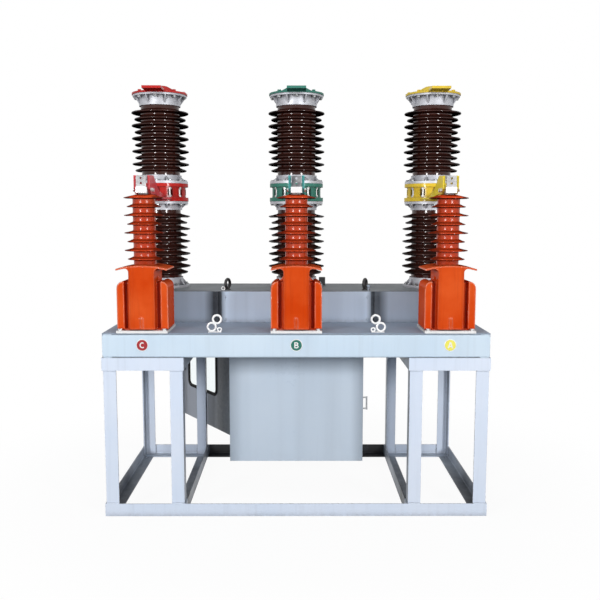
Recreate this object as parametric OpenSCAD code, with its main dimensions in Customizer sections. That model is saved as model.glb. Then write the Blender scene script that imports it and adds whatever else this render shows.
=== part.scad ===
// Outdoor vacuum circuit breaker, 40.5 kV class, with three current transformers.
// Three porcelain poles stand on a gear box, three resin current transformers stand in
// front of them, and a welded angle-steel stand carries both. The spring mechanism hangs
// in a cabinet below the gear box, behind a hinged door with a window.
// Origin: centre of the stand's footprint, on the ground. +Z up, -Y is the front.

/* [Stand] */
// Width over the outer posts
stand_w = 1900; // [1700:10:2400]
// Depth over the front and back posts
stand_d = 1020; // [840:10:1300]
// Height of the stand's top
stand_h = 800; // [660:10:1400]
// Width of each side bay
bay_w = 400; // [330:10:480]
// Leg of the angle steel
angle_leg = 63; // [50:1:80]
// Thickness of the angle steel
angle_t = 6; // [5:0.5:10]
// Root fillet of the angle steel
angle_root = 7; // [3:0.5:9]
// Diameter of the anchor holes
anchor_d = 18; // [12:1:24]
// Anchor hole centre from the stand's outer side face
anchor_in = 30; // [26:1:40]
// Anchor hole centre from the stand's front or back face
anchor_along = 88; // [84:2:200]

/* [Platform] */
// Height of the folded channel beams
beam_h = 115; // [95:1:140]
// Flange width of the channel beams
beam_flange = 48; // [38:1:60]
// Sheet thickness of the channel beams
beam_t = 5; // [4:0.5:6]
// Outer bend radius of the channel beams
beam_bend = 9; // [7:0.5:12]
// How far the beams stand in from the stand's outer faces
beam_inset = 5; // [2:1:10]
// Thickness of the deck plate
deck_t = 5; // [4:0.5:8]

/* [Gear box] */
// Distance from the stand's front face to the gear box
gear_from_front = 400; // [340:5:450]
// Depth of the gear box
gear_d = 450; // [375:5:500]
// Height of the gear box
gear_h = 171; // [140:1:210]
// Sheet thickness of the gear box
gear_t = 4; // [3:0.5:6]
// How far the front covers stand proud
cover_proud = 12; // [8:1:20]
// Width of the gap between two front covers
cover_gap = 19; // [12:1:30]

/* [Mechanism cabinet] */
// Width of the cabinet
cab_w = 724; // [600:4:860]
// Height of the cabinet's floor above the ground
cab_floor = 155; // [125:5:190]
// Sheet thickness of the cabinet
cab_t = 3; // [2:0.5:4]
// Turned-in edge round the cabinet's open back
cab_lip = 28; // [20:1:40]
// Height of the closed header above the door
header_h = 123; // [100:1:150]
// Depth of the door pan
door_depth = 28; // [20:1:36]
// Sheet thickness of the door
door_t = 2.5; // [2:0.5:3]
// Opening angle at which the door stands
door_angle = 123; // [90:1:128]
// Width of the door window
window_w = 400; // [300:5:470]
// Window edge from the hinge axis
window_from_hinge = 218; // [120:2:250]
// Window edge above the door's lower edge
window_up = 212; // [150:2:225]
// Window edge below the door's upper edge
window_below = 83; // [60:1:140]
// Corner radius of the window
window_r = 40; // [25:1:50]

/* [Poles] */
// Distance between pole axes
pole_pitch = 750; // [700:5:800]
// Pole axis from the gear box front
pole_back = 240; // [200:2:270]
// Length of each porcelain insulator
porcelain_h = 372; // [310:1:450]
// Radius of the porcelain core
core_r = 98; // [82:1:104]
// Radius of the large sheds
shed_r = 155; // [140:1:186]
// Radius of the small sheds
small_shed_r = 140; // [125:1:150]
// Number of sheds on each insulator
shed_count = 10; // [6:2:12]
// Rim radius of a shed
shed_tip = 3.5; // [2.5:0.5:5]
// Height of the base collar
base_collar_h = 57; // [48:1:70]
// Height of the collar under the centre housing
lower_collar_h = 47; // [39:1:57]
// Height of the collar above the centre housing
upper_collar_h = 46; // [38:1:56]
// Height of the top collar
top_collar_h = 60; // [52:1:74]
// Neck radius of the collars
neck_r = 112; // [106:1:120]
// Flange radius of the collars
flange_r = 146; // [136:1:150]
// Flange thickness of the collars
flange_t = 14; // [10:1:18]
// Flange thickness of the top collar
top_flange_t = 10; // [8:1:12]
// Number of gussets on each collar
gusset_count = 8; // [6:2:12]
// Height of the centre housing
housing_h = 96; // [84:1:116]
// Radius of the centre housing's rims
housing_r = 148; // [144:1:156]
// Thickness of the cap's rim
cap_t = 10; // [8:1:12]
// Height of the cap's dome above its rim
cap_dome_h = 38; // [31:1:46]
// Thickness of the upper terminal
tongue_t = 13; // [11:1:16]
// Width of the upper terminal
tongue_w = 100; // [80:2:120]
// Reach of the upper terminal from the pole axis
tongue_reach = 256; // [220:2:300]

/* [Current transformers] */
// Transformer axis from the stand's front face
ct_back = 128; // [118:1:160]
// Width of the transformer body
ct_w = 250; // [220:2:290]
// Depth of the transformer body
ct_d = 240; // [200:2:244]
// Height of the body's shoulders above its base plate
ct_shoulder = 239; // [200:1:280]
// Thickness of the base plate
ct_base_t = 12; // [10:0.5:16]
// Width of the centre tower
tower_w = 126; // [106:1:140]
// Height of the tower with its roof
tower_h = 317; // [300:1:370]
// Radius of the column
column_r = 55; // [46:1:60]
// Height of the column above the tower
column_h = 343; // [320:1:412]
// Radius of the column's large sheds
ct_shed_r = 98; // [86:1:108]
// Radius of the column's small sheds
ct_small_shed_r = 84; // [74:1:92]
// Number of sheds on the column
ct_shed_count = 8; // [4:2:8]
// Width of the terminal plate
terminal_w = 48; // [40:1:54]
// Diameter of the terminal holes
terminal_hole_d = 11; // [9:1:13]
// Distance between the terminal holes
terminal_pitch = 24; // [20:1:26]

/* [Link arms] */
// Distance between the two cheeks, inside
arm_gap = 54; // [48:1:66]
// Thickness of a cheek
arm_t = 12; // [10:1:15]
// Height of the cheeks above the transformer's column
arm_head = 90; // [76:1:108]

/* [Hidden] */
$fn = 64;

// Paints, as each phase wears its own colour.
paint = "aliceblue";
galvanised = "silver";
phase_a = "gold";
phase_b = "mediumseagreen";
phase_c = "firebrick";

eps = 0.01;
seat = 0.3; // clearance of one piece in another

// Levels, from the ground up.
deck_z = stand_h + beam_h + deck_t;
gear_z = deck_z + gear_h;
base_z = gear_z + base_collar_h;
lower_z = base_z + porcelain_h;
housing_z = lower_z + lower_collar_h;
upper_collar_z = housing_z + housing_h;
upper_z = upper_collar_z + upper_collar_h;
top_collar_z = upper_z + porcelain_h;
cap_z = top_collar_z + top_collar_h;

// Depth positions, from the front backwards.
front_y = -stand_d / 2;
gear_y = front_y + gear_from_front;
gear_back_y = gear_y + gear_d;
pole_y = gear_y + pole_back;
ct_y = front_y + ct_back;
ct_z = deck_z + ct_base_t;
column_z = ct_z + tower_h;
ct_top_z = column_z + column_h;

// Beams stand in from the stand's outer faces.
platform_w = stand_w - 2 * beam_inset;
platform_d = stand_d - 2 * beam_inset;
gear_w = platform_w;

// The centre housing, from its lower rim up.
rim_low_h = housing_h * 0.21;
rim_top_h = housing_h * 0.19;

// The cabinet hangs from the platform; its header closes the back above the door.
cab_top = deck_z - deck_t;
cab_h = cab_top - cab_floor;
header_z = cab_top - header_h;

// The door hangs just behind the cabinet's back edge.
hinge_r = 6;
hinge_x = -cab_w / 2 + hinge_r + 2;
hinge_y = gear_back_y + hinge_r + seat;
door_gap = 5.5; // clearance between the shut door and the cabinet
door_w = cab_w - 2 * (hinge_r + 2) - 3.5;
door_z = cab_floor + 6;
door_h = header_z - 6 - door_z;
window_h = door_h - window_up - window_below;
pan_y = door_gap - hinge_r - seat; // the pan's inner edge, from the hinge axis
pan_x = hinge_r + 3.5; // the pan's hinge edge, from the hinge axis
pin_r = 2.7;
pin_fit = 0.08;

// ---------------------------------------------------------------- stand

// Rolled angle: two legs from the outer corner, along +X and +Y, with a root fillet.
module angle_profile() {
    square([angle_leg, angle_t]);
    square([angle_t, angle_leg]);
    difference() {
        translate([angle_t - eps, angle_t - eps]) square(angle_root + eps);
        translate([angle_t + angle_root, angle_t + angle_root]) circle(angle_root);
    }
}

// Post: outer corner at the origin, legs towards +X and +Y.
module post(h) linear_extrude(h) angle_profile();

// Rail along +X: one leg stands in the front face, the other lies towards +Y.
// With flip, the flat leg is on top.
module rail_x(l, flip = false)
    translate([0, 0, flip ? angle_leg : 0])
        mirror([0, 0, flip ? 1 : 0])
            rotate([90, 0, 90]) linear_extrude(l) angle_profile();

// Rail along +Y: one leg stands in the left face, the other lies towards +X.
module rail_y(l, flip = false)
    mirror([1, 0, 0]) rotate([0, 0, 90]) rail_x(l, flip);

// One copy for each of front and back, and one for each of left and right.
module front_and_back() {
    children();
    mirror([0, 1, 0]) children();
}
module left_and_right() {
    children();
    mirror([1, 0, 0]) children();
}

module long_bottom_rails_form()
    front_and_back() translate([-stand_w / 2, front_y, 0]) rail_x(stand_w);

module side_rails_form(z, flip)
    left_and_right() {
        translate([-stand_w / 2, front_y, z]) rail_y(stand_d, flip);
        translate([-stand_w / 2 + bay_w, front_y, z]) mirror([1, 0, 0]) rail_y(stand_d, flip);
    }

module long_top_rails_form()
    left_and_right() front_and_back()
        translate([-stand_w / 2, front_y, stand_h - angle_leg]) rail_x(bay_w, true);

module anchor_holes()
    left_and_right() front_and_back()
        translate([-stand_w / 2 + anchor_in, front_y + anchor_along, -1]) cylinder(h = angle_t + 2, d = anchor_d);

module long_bottom_rails() color(paint) long_bottom_rails_form();

// The side rails are coped to the long rails.
module side_bottom_rails() color(paint)
    difference() {
        side_rails_form(0, false);
        long_bottom_rails_form();
        anchor_holes();
    }

module long_top_rails() color(paint) long_top_rails_form();

module side_top_rails() color(paint)
    difference() {
        side_rails_form(stand_h - angle_leg, true);
        long_top_rails_form();
    }

// Eight posts nest inside the rails' standing legs.
module posts() color(paint)
    difference() {
        left_and_right() front_and_back() {
            translate([-stand_w / 2 + angle_t, front_y + angle_t, angle_t])
                post(stand_h - 2 * angle_t);
            translate([-stand_w / 2 + bay_w - angle_t, front_y + angle_t, angle_t])
                mirror([1, 0, 0]) post(stand_h - 2 * angle_t);
        }
        long_bottom_rails_form();
        side_rails_form(0, false);
        long_top_rails_form();
        side_rails_form(stand_h - angle_leg, true);
    }

// ---------------------------------------------------------------- platform

// Rectangle with its two left corners rounded, for folded sections.
module left_round(w, h, r) {
    translate([r, 0]) square([w - r, h]);
    translate([0, r]) square([w, h - 2 * r]);
    for (y = [r, h - r]) translate([r, y]) circle(r);
}

// Folded channel, web at x = 0, open towards +X.
module channel_profile()
    difference() {
        left_round(beam_flange, beam_h, beam_bend);
        translate([beam_t, beam_t])
            left_round(beam_flange, beam_h - 2 * beam_t, beam_bend - beam_t);
    }

// Channel along +X, web in the front face, open to the back.
module beam_x(l) rotate([90, 0, 90]) linear_extrude(l) channel_profile();

module outer_beams_form()
    front_and_back() translate([-platform_w / 2, -platform_d / 2, stand_h]) beam_x(platform_w);

module side_beams_form()
    left_and_right() translate([-platform_w / 2, -platform_d / 2, stand_h])
        mirror([1, 0, 0]) rotate([0, 0, 90]) beam_x(platform_d);

module mid_beams_form() {
    // webs stand along the cabinet's front and back
    translate([-platform_w / 2, gear_y, stand_h]) mirror([0, 1, 0]) beam_x(platform_w);
    translate([-platform_w / 2, gear_back_y, stand_h]) beam_x(platform_w);
}

module outer_beams() color(paint) outer_beams_form();

module side_beams() color(paint)
    difference() {
        side_beams_form();
        outer_beams_form();
    }

module mid_beams() color(paint)
    difference() {
        mid_beams_form();
        side_beams_form();
    }

// The deck plate is open above the cabinet, where the drive rod comes up.
drive_open_w = cab_w - 120;
drive_open_d = gear_d - 120;
module deck() color("slategray")
    difference() {
        translate([-platform_w / 2, -platform_d / 2, deck_z - deck_t])
            cube([platform_w, platform_d, deck_t]);
        translate([-drive_open_w / 2, gear_y + 60, deck_z - deck_t - 1])
            cube([drive_open_w, drive_open_d, deck_t + 2]);
    }

// ---------------------------------------------------------------- gear box

lid_t = gear_t;
lid_drop = 16;
// Folded housing, open below; its lid and covers are pieces of their own.
module gear_box() color(paint)
    translate([0, gear_y + cover_proud, deck_z])
        difference() {
            translate([-gear_w / 2 + gear_t, 0, 0])
                cube([gear_w - 2 * gear_t, gear_d - cover_proud - gear_t, gear_h - lid_t]);
            translate([-gear_w / 2 + 2 * gear_t, gear_t, -1])
                cube([gear_w - 4 * gear_t, gear_d - cover_proud - 3 * gear_t, gear_h - lid_t - gear_t + 1]);
            // the drive shafts' openings under the poles
            for (x = [-1, 0, 1]) translate([x * pole_pitch, pole_back - cover_proud, gear_h / 2])
                cylinder(h = gear_h, r = core_r * 0.6);
        }

// Lid with its back and side edges folded down, so that rain runs off.
module gear_lid() color(paint)
    difference() {
        translate([-gear_w / 2, gear_y, gear_z - lid_drop]) cube([gear_w, gear_d, lid_drop]);
        translate([-gear_w / 2 + gear_t, gear_y - 1, gear_z - lid_drop - 1])
            cube([gear_w - 2 * gear_t, gear_d - gear_t + 1, lid_drop - lid_t + 1]);
        for (x = [-1, 0, 1]) translate([x * pole_pitch, pole_y, gear_z - lid_drop - 1])
            cylinder(h = lid_drop + 2, r = core_r * 0.6);
    }

// Folded cover pan: a face with edges turned back all round.
module cover_pan(w) {
    h = gear_h - lid_t - seat;
    difference() {
        cube([w, cover_proud, h]);
        translate([gear_t / 2, gear_t / 2, gear_t / 2]) cube([w - gear_t, cover_proud, h - gear_t]);
    }
}

// Three front covers, one for each pole, with shadow gaps between them.
side_cover_w = gear_w / 2 - gear_t - pole_pitch * 0.545 - cover_gap / 2;
module gear_covers() color(paint)
    translate([0, gear_y, deck_z]) {
        mid_w = pole_pitch * 1.09 - cover_gap;
        translate([-mid_w / 2, 0, 0]) cover_pan(mid_w);
        left_and_right() translate([-gear_w / 2 + gear_t + seat, 0, 0]) cover_pan(side_cover_w - seat);
    }

// ---------------------------------------------------------------- cabinet

// Sheet cabinet, open at the back behind the door, with turned-in lips.
module cabinet() color(paint)
    translate([-cab_w / 2, gear_y, cab_floor])
        difference() {
            cube([cab_w, gear_d, cab_h]);
            translate([cab_t, cab_t, cab_t])
                cube([cab_w - 2 * cab_t, gear_d - 2 * cab_t, cab_h - 2 * cab_t]);
            // door opening, inside the lips
            translate([cab_lip, gear_d - cab_t - 1, cab_lip])
                cube([cab_w - 2 * cab_lip, cab_t + 2, header_z - cab_floor - cab_lip]);
            // top opening, in line with the deck's
            translate([(cab_w - drive_open_w) / 2, 60, cab_h - cab_t - 1])
                cube([drive_open_w, drive_open_d, cab_t + 2]);
        }

// Bow handle on the cabinet's right side: a bar on two feet.
handle_z = cab_floor + 272;
handle_l = 74;
module cabinet_handle() color("dimgray")
    translate([cab_w / 2, gear_y + 62, handle_z]) {
        for (z = [6, handle_l - 6]) translate([0, 0, z]) rotate([0, 90, 0]) cylinder(h = 5, r = 9);
        for (z = [6, handle_l - 6]) translate([0, 0, z]) rotate([0, 90, 0]) cylinder(h = 26, r = 4);
        translate([26, 0, 0]) cylinder(h = handle_l, r = 5);
    }

// ---------------------------------------------------------------- door

knuckle_h = 60;
knuckle_z = [door_z + 70, door_z + door_h - 70 - knuckle_h];
// Rectangle with round corners, from exact circles.
module round_rect(w, h, r) {
    translate([r, 0]) square([w - 2 * r, h]);
    translate([0, r]) square([w, h - 2 * r]);
    for (x = [r, w - r], y = [r, h - r]) translate([x, y]) circle(r);
}

// Fixed hinge leaves: a pin in a knuckle, welded to the cabinet's back edge.
module hinge_leaves() color(galvanised)
    for (z = knuckle_z) {
        translate([hinge_x, hinge_y, z]) cylinder(h = knuckle_h / 2 - seat, r = hinge_r);
        translate([hinge_x, hinge_y, z + knuckle_h / 2 - 1]) cylinder(h = knuckle_h / 2 - 1, r = pin_r);
        translate([hinge_x - 2, gear_back_y, z]) cube([4, hinge_y - gear_back_y, knuckle_h / 2 - seat]);
    }

// Everything on the door is drawn shut and then turned to its angle.
module on_door()
    translate([hinge_x, hinge_y, 0]) rotate([0, 0, door_angle]) children();

window_z = door_z + window_up;
// Folded door pan with its window cut-out and the moving knuckles.
module door() color(paint)
    on_door() {
        difference() {
            translate([pan_x, pan_y, door_z]) cube([door_w, door_depth, door_h]);
            translate([pan_x + door_t, pan_y - 1, door_z + door_t])
                cube([door_w - 2 * door_t, door_depth - door_t + 1, door_h - 2 * door_t]);
            translate([window_from_hinge, pan_y + door_depth + 1, window_z]) rotate([90, 0, 0])
                linear_extrude(door_t + 2) round_rect(window_w, window_h, window_r);
        }
        for (z = knuckle_z) translate([0, 0, z + knuckle_h / 2]) {
            difference() {
                union() {
                    cylinder(h = knuckle_h / 2, r = hinge_r);
                    translate([0, 0, 0]) cube([pan_x + door_t / 2, 3, knuckle_h / 2]);
                }
                translate([0, 0, -1]) cylinder(h = knuckle_h / 2 + 2, r = pin_r + pin_fit);
            }
        }
    }

seal_w = 9;
seal_t = 7;
// Rubber glazing strip: grips the sheet and the pane all round the window.
module window_seal() color("black")
    on_door() translate([window_from_hinge, pan_y + door_depth + seal_t / 2 - door_t / 2, window_z]) rotate([90, 0, 0])
        difference() {
            linear_extrude(seal_t) difference() {
                translate([-seal_w / 2, -seal_w / 2]) round_rect(window_w + seal_w, window_h + seal_w, window_r + seal_w / 2);
                translate([seal_w, seal_w]) round_rect(window_w - 2 * seal_w, window_h - 2 * seal_w, window_r - seal_w);
            }
            // the slot for the sheet
            translate([0, 0, seal_t / 2 - door_t / 2 - seat]) linear_extrude(door_t + 2 * seat) difference() {
                translate([-seal_w, -seal_w]) round_rect(window_w + 2 * seal_w, window_h + 2 * seal_w, window_r + seal_w);
                translate([seat, seat]) round_rect(window_w - 2 * seat, window_h - 2 * seat, window_r - seat);
            }
        }

pane_t = 3;
module window_pane() color("lightblue")
    on_door() translate([window_from_hinge + seal_w + seat, pan_y + door_depth - door_t / 2 + pane_t / 2, window_z + seal_w + seat])
        rotate([90, 0, 0]) linear_extrude(pane_t)
            round_rect(window_w - 2 * seal_w - 2 * seat, window_h - 2 * seal_w - 2 * seat, window_r - seal_w);

// Turn latch near the free edge: a knob outside and a tongue inside.
latch_x = pan_x + door_w - 34;
module door_latch() color("dimgray")
    on_door() translate([latch_x, pan_y + door_depth, door_z + door_h / 2]) {
        rotate([-90, 0, 0]) cylinder(h = 10, r = 13);
        translate([-4, 10, -20]) cube([8, 12, 40]);
        translate([0, -door_t - 5, 0]) rotate([-90, 0, 0]) cylinder(h = 5, r = 10);
        translate([-7, -door_t - 5, -8]) cube([34, 3, 16]);
    }

// ---------------------------------------------------------------- mechanism

mech_w = cab_w * 0.52;
mech_x = -mech_w / 2;
mech_y = gear_y + gear_d * 0.30;
mech_d = gear_d * 0.42;
mech_z = cab_floor + cab_h * 0.34;
mech_h = cab_h * 0.44;
plate_t = 10;
shaft_r = 16;
shaft_z = mech_z + mech_h * 0.62;
shaft_y = mech_y + mech_d * 0.5;
crank_x = -mech_x + 24;
crank_t = 12;
crank_l = 70;
spring_r = 30;
spring_wire = 4.5;
spring_turns = 9;
spring_seat_t = 8;
spring_x = crank_x + crank_t + spring_r + spring_wire + 7;
spring_low = mech_z + spring_seat_t + seat + spring_wire;
spring_high = shaft_z + 30;

// Two side plates with tie bars, standing on a bridge across the cabinet.
module mech_frame() color("lightsteelblue") {
    difference() {
        left_and_right() translate([mech_x, mech_y, mech_z]) cube([plate_t, mech_d, mech_h]);
        translate([mech_x - 1, shaft_y, shaft_z]) rotate([0, 90, 0]) cylinder(h = mech_w + 2, r = shaft_r + seat);
        // lightening holes
        translate([mech_x - 1, shaft_y, mech_z + mech_h * 0.24]) rotate([0, 90, 0]) cylinder(h = mech_w + 2, r = mech_d * 0.2);
    }
    for (y = [mech_y + 16, mech_y + mech_d - 16], z = [mech_z + mech_h - 18])
        translate([mech_x + plate_t, y, z]) rotate([0, 90, 0]) cylinder(h = mech_w - 2 * plate_t, r = 9);
    translate([-cab_w / 2 + cab_t, mech_y, mech_z - 12]) cube([cab_w - 2 * cab_t, mech_d, 12]);
    // lower seat of the closing spring
    translate([spring_x, shaft_y, mech_z - 1]) cylinder(h = spring_seat_t + 1, r = spring_r + spring_wire + 3);
}

gear_r = mech_h * 0.27;
cam_x = mech_x + mech_w * 0.62;
cam_t = 20;
cam_top = gear_r * 0.84;
// Main shaft with its spur gear, cam and crank, and the charging motor.
module mech_drive() color("gray") {
    translate([mech_x - 22, shaft_y, shaft_z]) rotate([0, 90, 0]) cylinder(h = crank_x + crank_t - mech_x + 22, r = shaft_r);
    // spur gear
    translate([mech_x + mech_w * 0.22, shaft_y, shaft_z]) rotate([0, 90, 0]) linear_extrude(16) {
        circle(gear_r - 5);
        for (a = [0:15:345]) rotate(a) translate([gear_r - 8, 0]) polygon([[0, -6], [9, -3], [9, 3], [0, 6]]);
    }
    // cam disc
    translate([cam_x, shaft_y, shaft_z]) rotate([90, 0, 90]) linear_extrude(cam_t) {
        circle(gear_r * 0.62);
        translate([0, cam_top - gear_r * 0.5]) circle(gear_r * 0.5);
    }
    // crank, its pin and the rod that carries the spring's upper seat
    translate([crank_x, shaft_y, shaft_z]) rotate([0, 90, 0]) linear_extrude(crank_t) {
        circle(28);
        translate([-crank_l, -12]) square([crank_l, 24]);
        translate([-crank_l, 0]) circle(16);
    }
    translate([crank_x + 1, shaft_y, shaft_z + crank_l]) rotate([0, 90, 0]) cylinder(h = spring_x - crank_x + 14, r = 8);
    translate([spring_x - 11, shaft_y, shaft_z + crank_l]) rotate([0, 90, 0]) cylinder(h = 22, r = 15);
    translate([spring_x, shaft_y, spring_high + spring_wire + seat]) {
        cylinder(h = spring_seat_t, r = spring_r + spring_wire + 3);
        cylinder(h = shaft_z + crank_l - spring_high - spring_wire - seat, r = 8);
    }
    // charging motor, bolted to the left plate's inside
    translate([mech_x + plate_t, shaft_y + mech_d * 0.2, mech_z + 46]) rotate([0, 90, 0]) cylinder(h = 130, r = 38);
    translate([mech_x + plate_t + 130, shaft_y + mech_d * 0.2, mech_z + 46]) rotate([0, 90, 0]) cylinder(h = 26, r = 30);
}

// Point on the spring's wire axis, t from 0 to 1.
function coil_at(t) = [
    spring_r * cos(360 * spring_turns * t), spring_r * sin(360 * spring_turns * t),
    (spring_high - spring_low) * t
];
// One ring of the wire, turned square to the coil.
function coil_ring(t, sides) = [
    for (k = [0:sides - 1])
        let (a = 360 * spring_turns * t, b = 360 * k / sides, c = coil_at(t))
            [c[0] + spring_wire * cos(b) * cos(a), c[1] + spring_wire * cos(b) * sin(a), c[2] + spring_wire * sin(b)]
];
// The closing spring: a round wire swept along its coil, between its two seats.
module mech_spring() color("darkslategray") {
    sides = 8;
    steps = spring_turns * 12;
    translate([spring_x, shaft_y, spring_low])
        polyhedron(
            points = [for (i = [0:steps]) each coil_ring(i / steps, sides)],
            faces = concat(
                [[for (k = [0:sides - 1]) k]],
                [for (i = [0:steps - 1], k = [0:sides - 1]) [
                    i * sides + k, (i + 1) * sides + k,
                    (i + 1) * sides + (k + 1) % sides, i * sides + (k + 1) % sides]],
                [[for (k = [sides - 1:-1:0]) steps * sides + k]]));
}

// Insulating link from the crank up into the gear box.
module drive_rod() color("goldenrod")
    translate([cam_x + cam_t / 2, shaft_y, shaft_z + cam_top + seat])
        cylinder(h = gear_z - gear_t * 3 - 20 - (shaft_z + cam_top + seat), r = 14);

// ---------------------------------------------------------------- small plant

// Lifting eyes on the gear box: a foot, a shank and a ring.
eye_x = 370;
module lifting_eye(r, wire) {
    cylinder(h = 5, r = r * 0.75);
    cylinder(h = r * 0.5, r = wire);
    translate([0, 0, r + wire + 4]) wire_ring(r, wire);
}
module lifting_eyes() color("dimgray")
    left_and_right() translate([eye_x, gear_y + 44, gear_z]) rotate(72) lifting_eye(24, 7);

// Ring of round wire, standing up and facing the front.
module wire_ring(r, wire) rotate([90, 0, 0]) rotate_extrude() translate([r, 0]) circle(wire);

// Forged eyes on the deck's front edge: a leaning figure of eight and a small ring on one foot.
deck_eye_r = 20;
module deck_eyes() color(galvanised)
    left_and_right() translate([400, front_y + 45, deck_z]) {
        translate([-32, -9, 0]) cube([64, 18, 4]);
        translate([15, 0, deck_eye_r + 6]) wire_ring(deck_eye_r, 5.5);
        translate([-11, 0, deck_eye_r + 44]) wire_ring(deck_eye_r, 5.5);
        translate([-23, 0, 13]) wire_ring(9, 4);
    }

// Small cable entry box on the lid, right of the middle pole.
module lid_terminal() color("dimgray")
    translate([130, pole_y + 92, gear_z]) cube([36, 30, 46]);

// ---------------------------------------------------------------- poles

// Cross-section of one shed: a sloping top, a thin round rim and a short undercut.
module shed_section(core, rim, up) {
    polygon([[core - 4, up + 3], [rim - shed_tip, shed_tip], [rim - shed_tip, -shed_tip], [core - 4, -shed_tip - 1]]);
    translate([rim - shed_tip, 0]) circle(shed_tip);
    // root fillets above and below
    difference() {
        translate([core - 4, up - 2]) square([10, 8]);
        translate([core + 6, up + 6]) circle(6);
    }
    difference() {
        translate([core - 4, -shed_tip - 6]) square([9, 6]);
        translate([core + 5, -shed_tip - 6]) circle(5);
    }
}

// Insulator half-section: a core with small and large sheds in turn, the first
// one low above the bottom and the last one high below the top.
module insulator_section(h, core, big, small, count, up, low, high) {
    pitch = (h - low - high) / (count - 1);
    square([core, h]);
    for (i = [0:count - 1])
        translate([0, low + i * pitch]) shed_section(core, i % 2 == 1 ? big : small, up);
}

module porcelain(paint_x)
    color("saddlebrown")
        for (z = [base_z, upper_z]) translate([paint_x, pole_y, z])
            rotate_extrude() insulator_section(porcelain_h, core_r, shed_r, small_shed_r, shed_count, 14,
                porcelain_h * 0.075, porcelain_h * 0.075 + 6);

// Cast collar: flange below, a drum rising to the neck, and gussets between.
module collar(h, rim = flange_t) {
    rotate_extrude()
        polygon([[0, 0], [flange_r, 0], [flange_r, rim], [neck_r + 3, rim], [neck_r, h - 8], [neck_r, h], [0, h]]);
    for (k = [0:gusset_count - 1]) rotate(360 / gusset_count * (k + 0.5))
        rotate([90, 0, 0]) translate([0, 0, -4]) linear_extrude(8)
            polygon([[neck_r - 6, rim - eps], [flange_r - 8, rim - eps], [flange_r - 8, rim + 4], [neck_r - 1, h - 8], [neck_r - 6, h - 8]]);
}

// A pole's four collars: base, below and above the centre housing, and top.
module fittings(x) color(galvanised) {
    translate([x, pole_y, gear_z]) collar(base_collar_h);
    translate([x, pole_y, housing_z]) mirror([0, 0, 1]) collar(lower_collar_h);
    translate([x, pole_y, upper_collar_z]) collar(upper_collar_h);
    translate([x, pole_y, cap_z]) mirror([0, 0, 1]) collar(top_collar_h, top_flange_t);
}

pocket_count = 12;
pocket_w = 30;
drum_r = housing_r - 14;
arm_front_y = ct_y - 48;
arm_half = arm_gap / 2 + arm_t;
// Centre housing: two rims, a drum with bolt pockets, and the link to the transformer.
module housing(x, shade) color(shade) {
    pocket_z = rim_low_h + 2;
    pocket_h = housing_h - rim_low_h - rim_top_h - 4;
    arm_in = drum_r - 14;
    translate([x, pole_y, housing_z]) {
        difference() {
            union() {
                cylinder(h = rim_low_h, r = housing_r);
                translate([0, 0, rim_low_h - eps]) cylinder(h = housing_h - rim_low_h, r = drum_r);
                translate([0, 0, housing_h - rim_top_h]) cylinder(h = rim_top_h, r = housing_r - 1);
            }
            for (k = [0:pocket_count - 1]) rotate(360 / pocket_count * k) {
                for (z = [pocket_z + pocket_w / 2, pocket_z + pocket_h - pocket_w / 2])
                    translate([drum_r - 22, 0, z]) rotate([0, 90, 0]) cylinder(h = 40, d = pocket_w);
                translate([drum_r - 22, -pocket_w / 2, pocket_z + pocket_w / 2])
                    cube([40, pocket_w, max(eps, pocket_h - pocket_w)]);
            }
        }
    }
    // two cheeks run forward, over the column's top shed, to the transformer's terminal
    for (s = [-1, 1])
        translate([x + s * (arm_gap + arm_t) / 2 - arm_t / 2, 0, 0]) rotate([90, 0, 90])
            linear_extrude(arm_t) polygon([
                [arm_front_y, ct_top_z + arm_head], [arm_front_y, ct_top_z + 28], [arm_front_y + 30, ct_top_z + 2],
                [ct_y + ct_shed_r + 8, ct_top_z + 2], [pole_y - arm_in, housing_z + 4],
                [pole_y - arm_in, housing_z + rim_low_h + 6], [ct_y + 200, ct_top_z + arm_head * 0.3],
                [ct_y + 132, ct_top_z + arm_head * 0.66], [ct_y + 62, ct_top_z + arm_head + 5]]);
    // a web flares between and beside the cheeks where they meet the lower rim
    translate([x, pole_y, housing_z + 8]) linear_extrude(10)
        polygon([[-arm_half, -housing_r - 110], [arm_half, -housing_r - 110], [arm_half + 42, -arm_in], [-arm_half - 42, -arm_in]]);
    translate([x - arm_gap / 2 - 1, pole_y - housing_r - 26, housing_z + 9]) cube([arm_gap + 2, 34, rim_low_h - 6]);
}

// Cap: a rim for the bolts, a dome, and the upper terminal reaching forward.
module cap(x, shade) color(shade)
    translate([x, pole_y, cap_z]) {
        cylinder(h = cap_t, r = flange_r + 4);
        translate([0, 0, cap_t - eps]) cylinder(h = cap_dome_h, r1 = flange_r - 32, r2 = 44);
        difference() {
            translate([-tongue_w / 2, -tongue_reach, 2]) cube([tongue_w, tongue_reach, tongue_t]);
            for (sx = [-1, 1], sy = [0, 1]) translate([sx * 25, -tongue_reach + 25 + sy * 50, 0]) cylinder(h = tongue_t + 4, d = 14);
        }
    }

// ---------------------------------------------------------------- transformers

// Steel base plate with a slotted foot at each corner.
module ct_base(x) color("white")
    difference() {
        translate([x - ct_w / 2, ct_y - ct_back + 2, deck_z]) cube([ct_w, 2 * ct_back - 4, ct_base_t]);
        for (sx = [-1, 1], sy = [-1, 1]) translate([x + sx * (ct_w / 2 - 18), ct_y + sy * (ct_back - 18), deck_z - 1])
            cylinder(h = ct_base_t + 2, d = 13);
    }

block_w = 37;
block_set = 24;
shoulder_r = 34;
dome_r = 480;
wing_t = 9;
roof_root = 18;
foot_h = 5;
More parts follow.
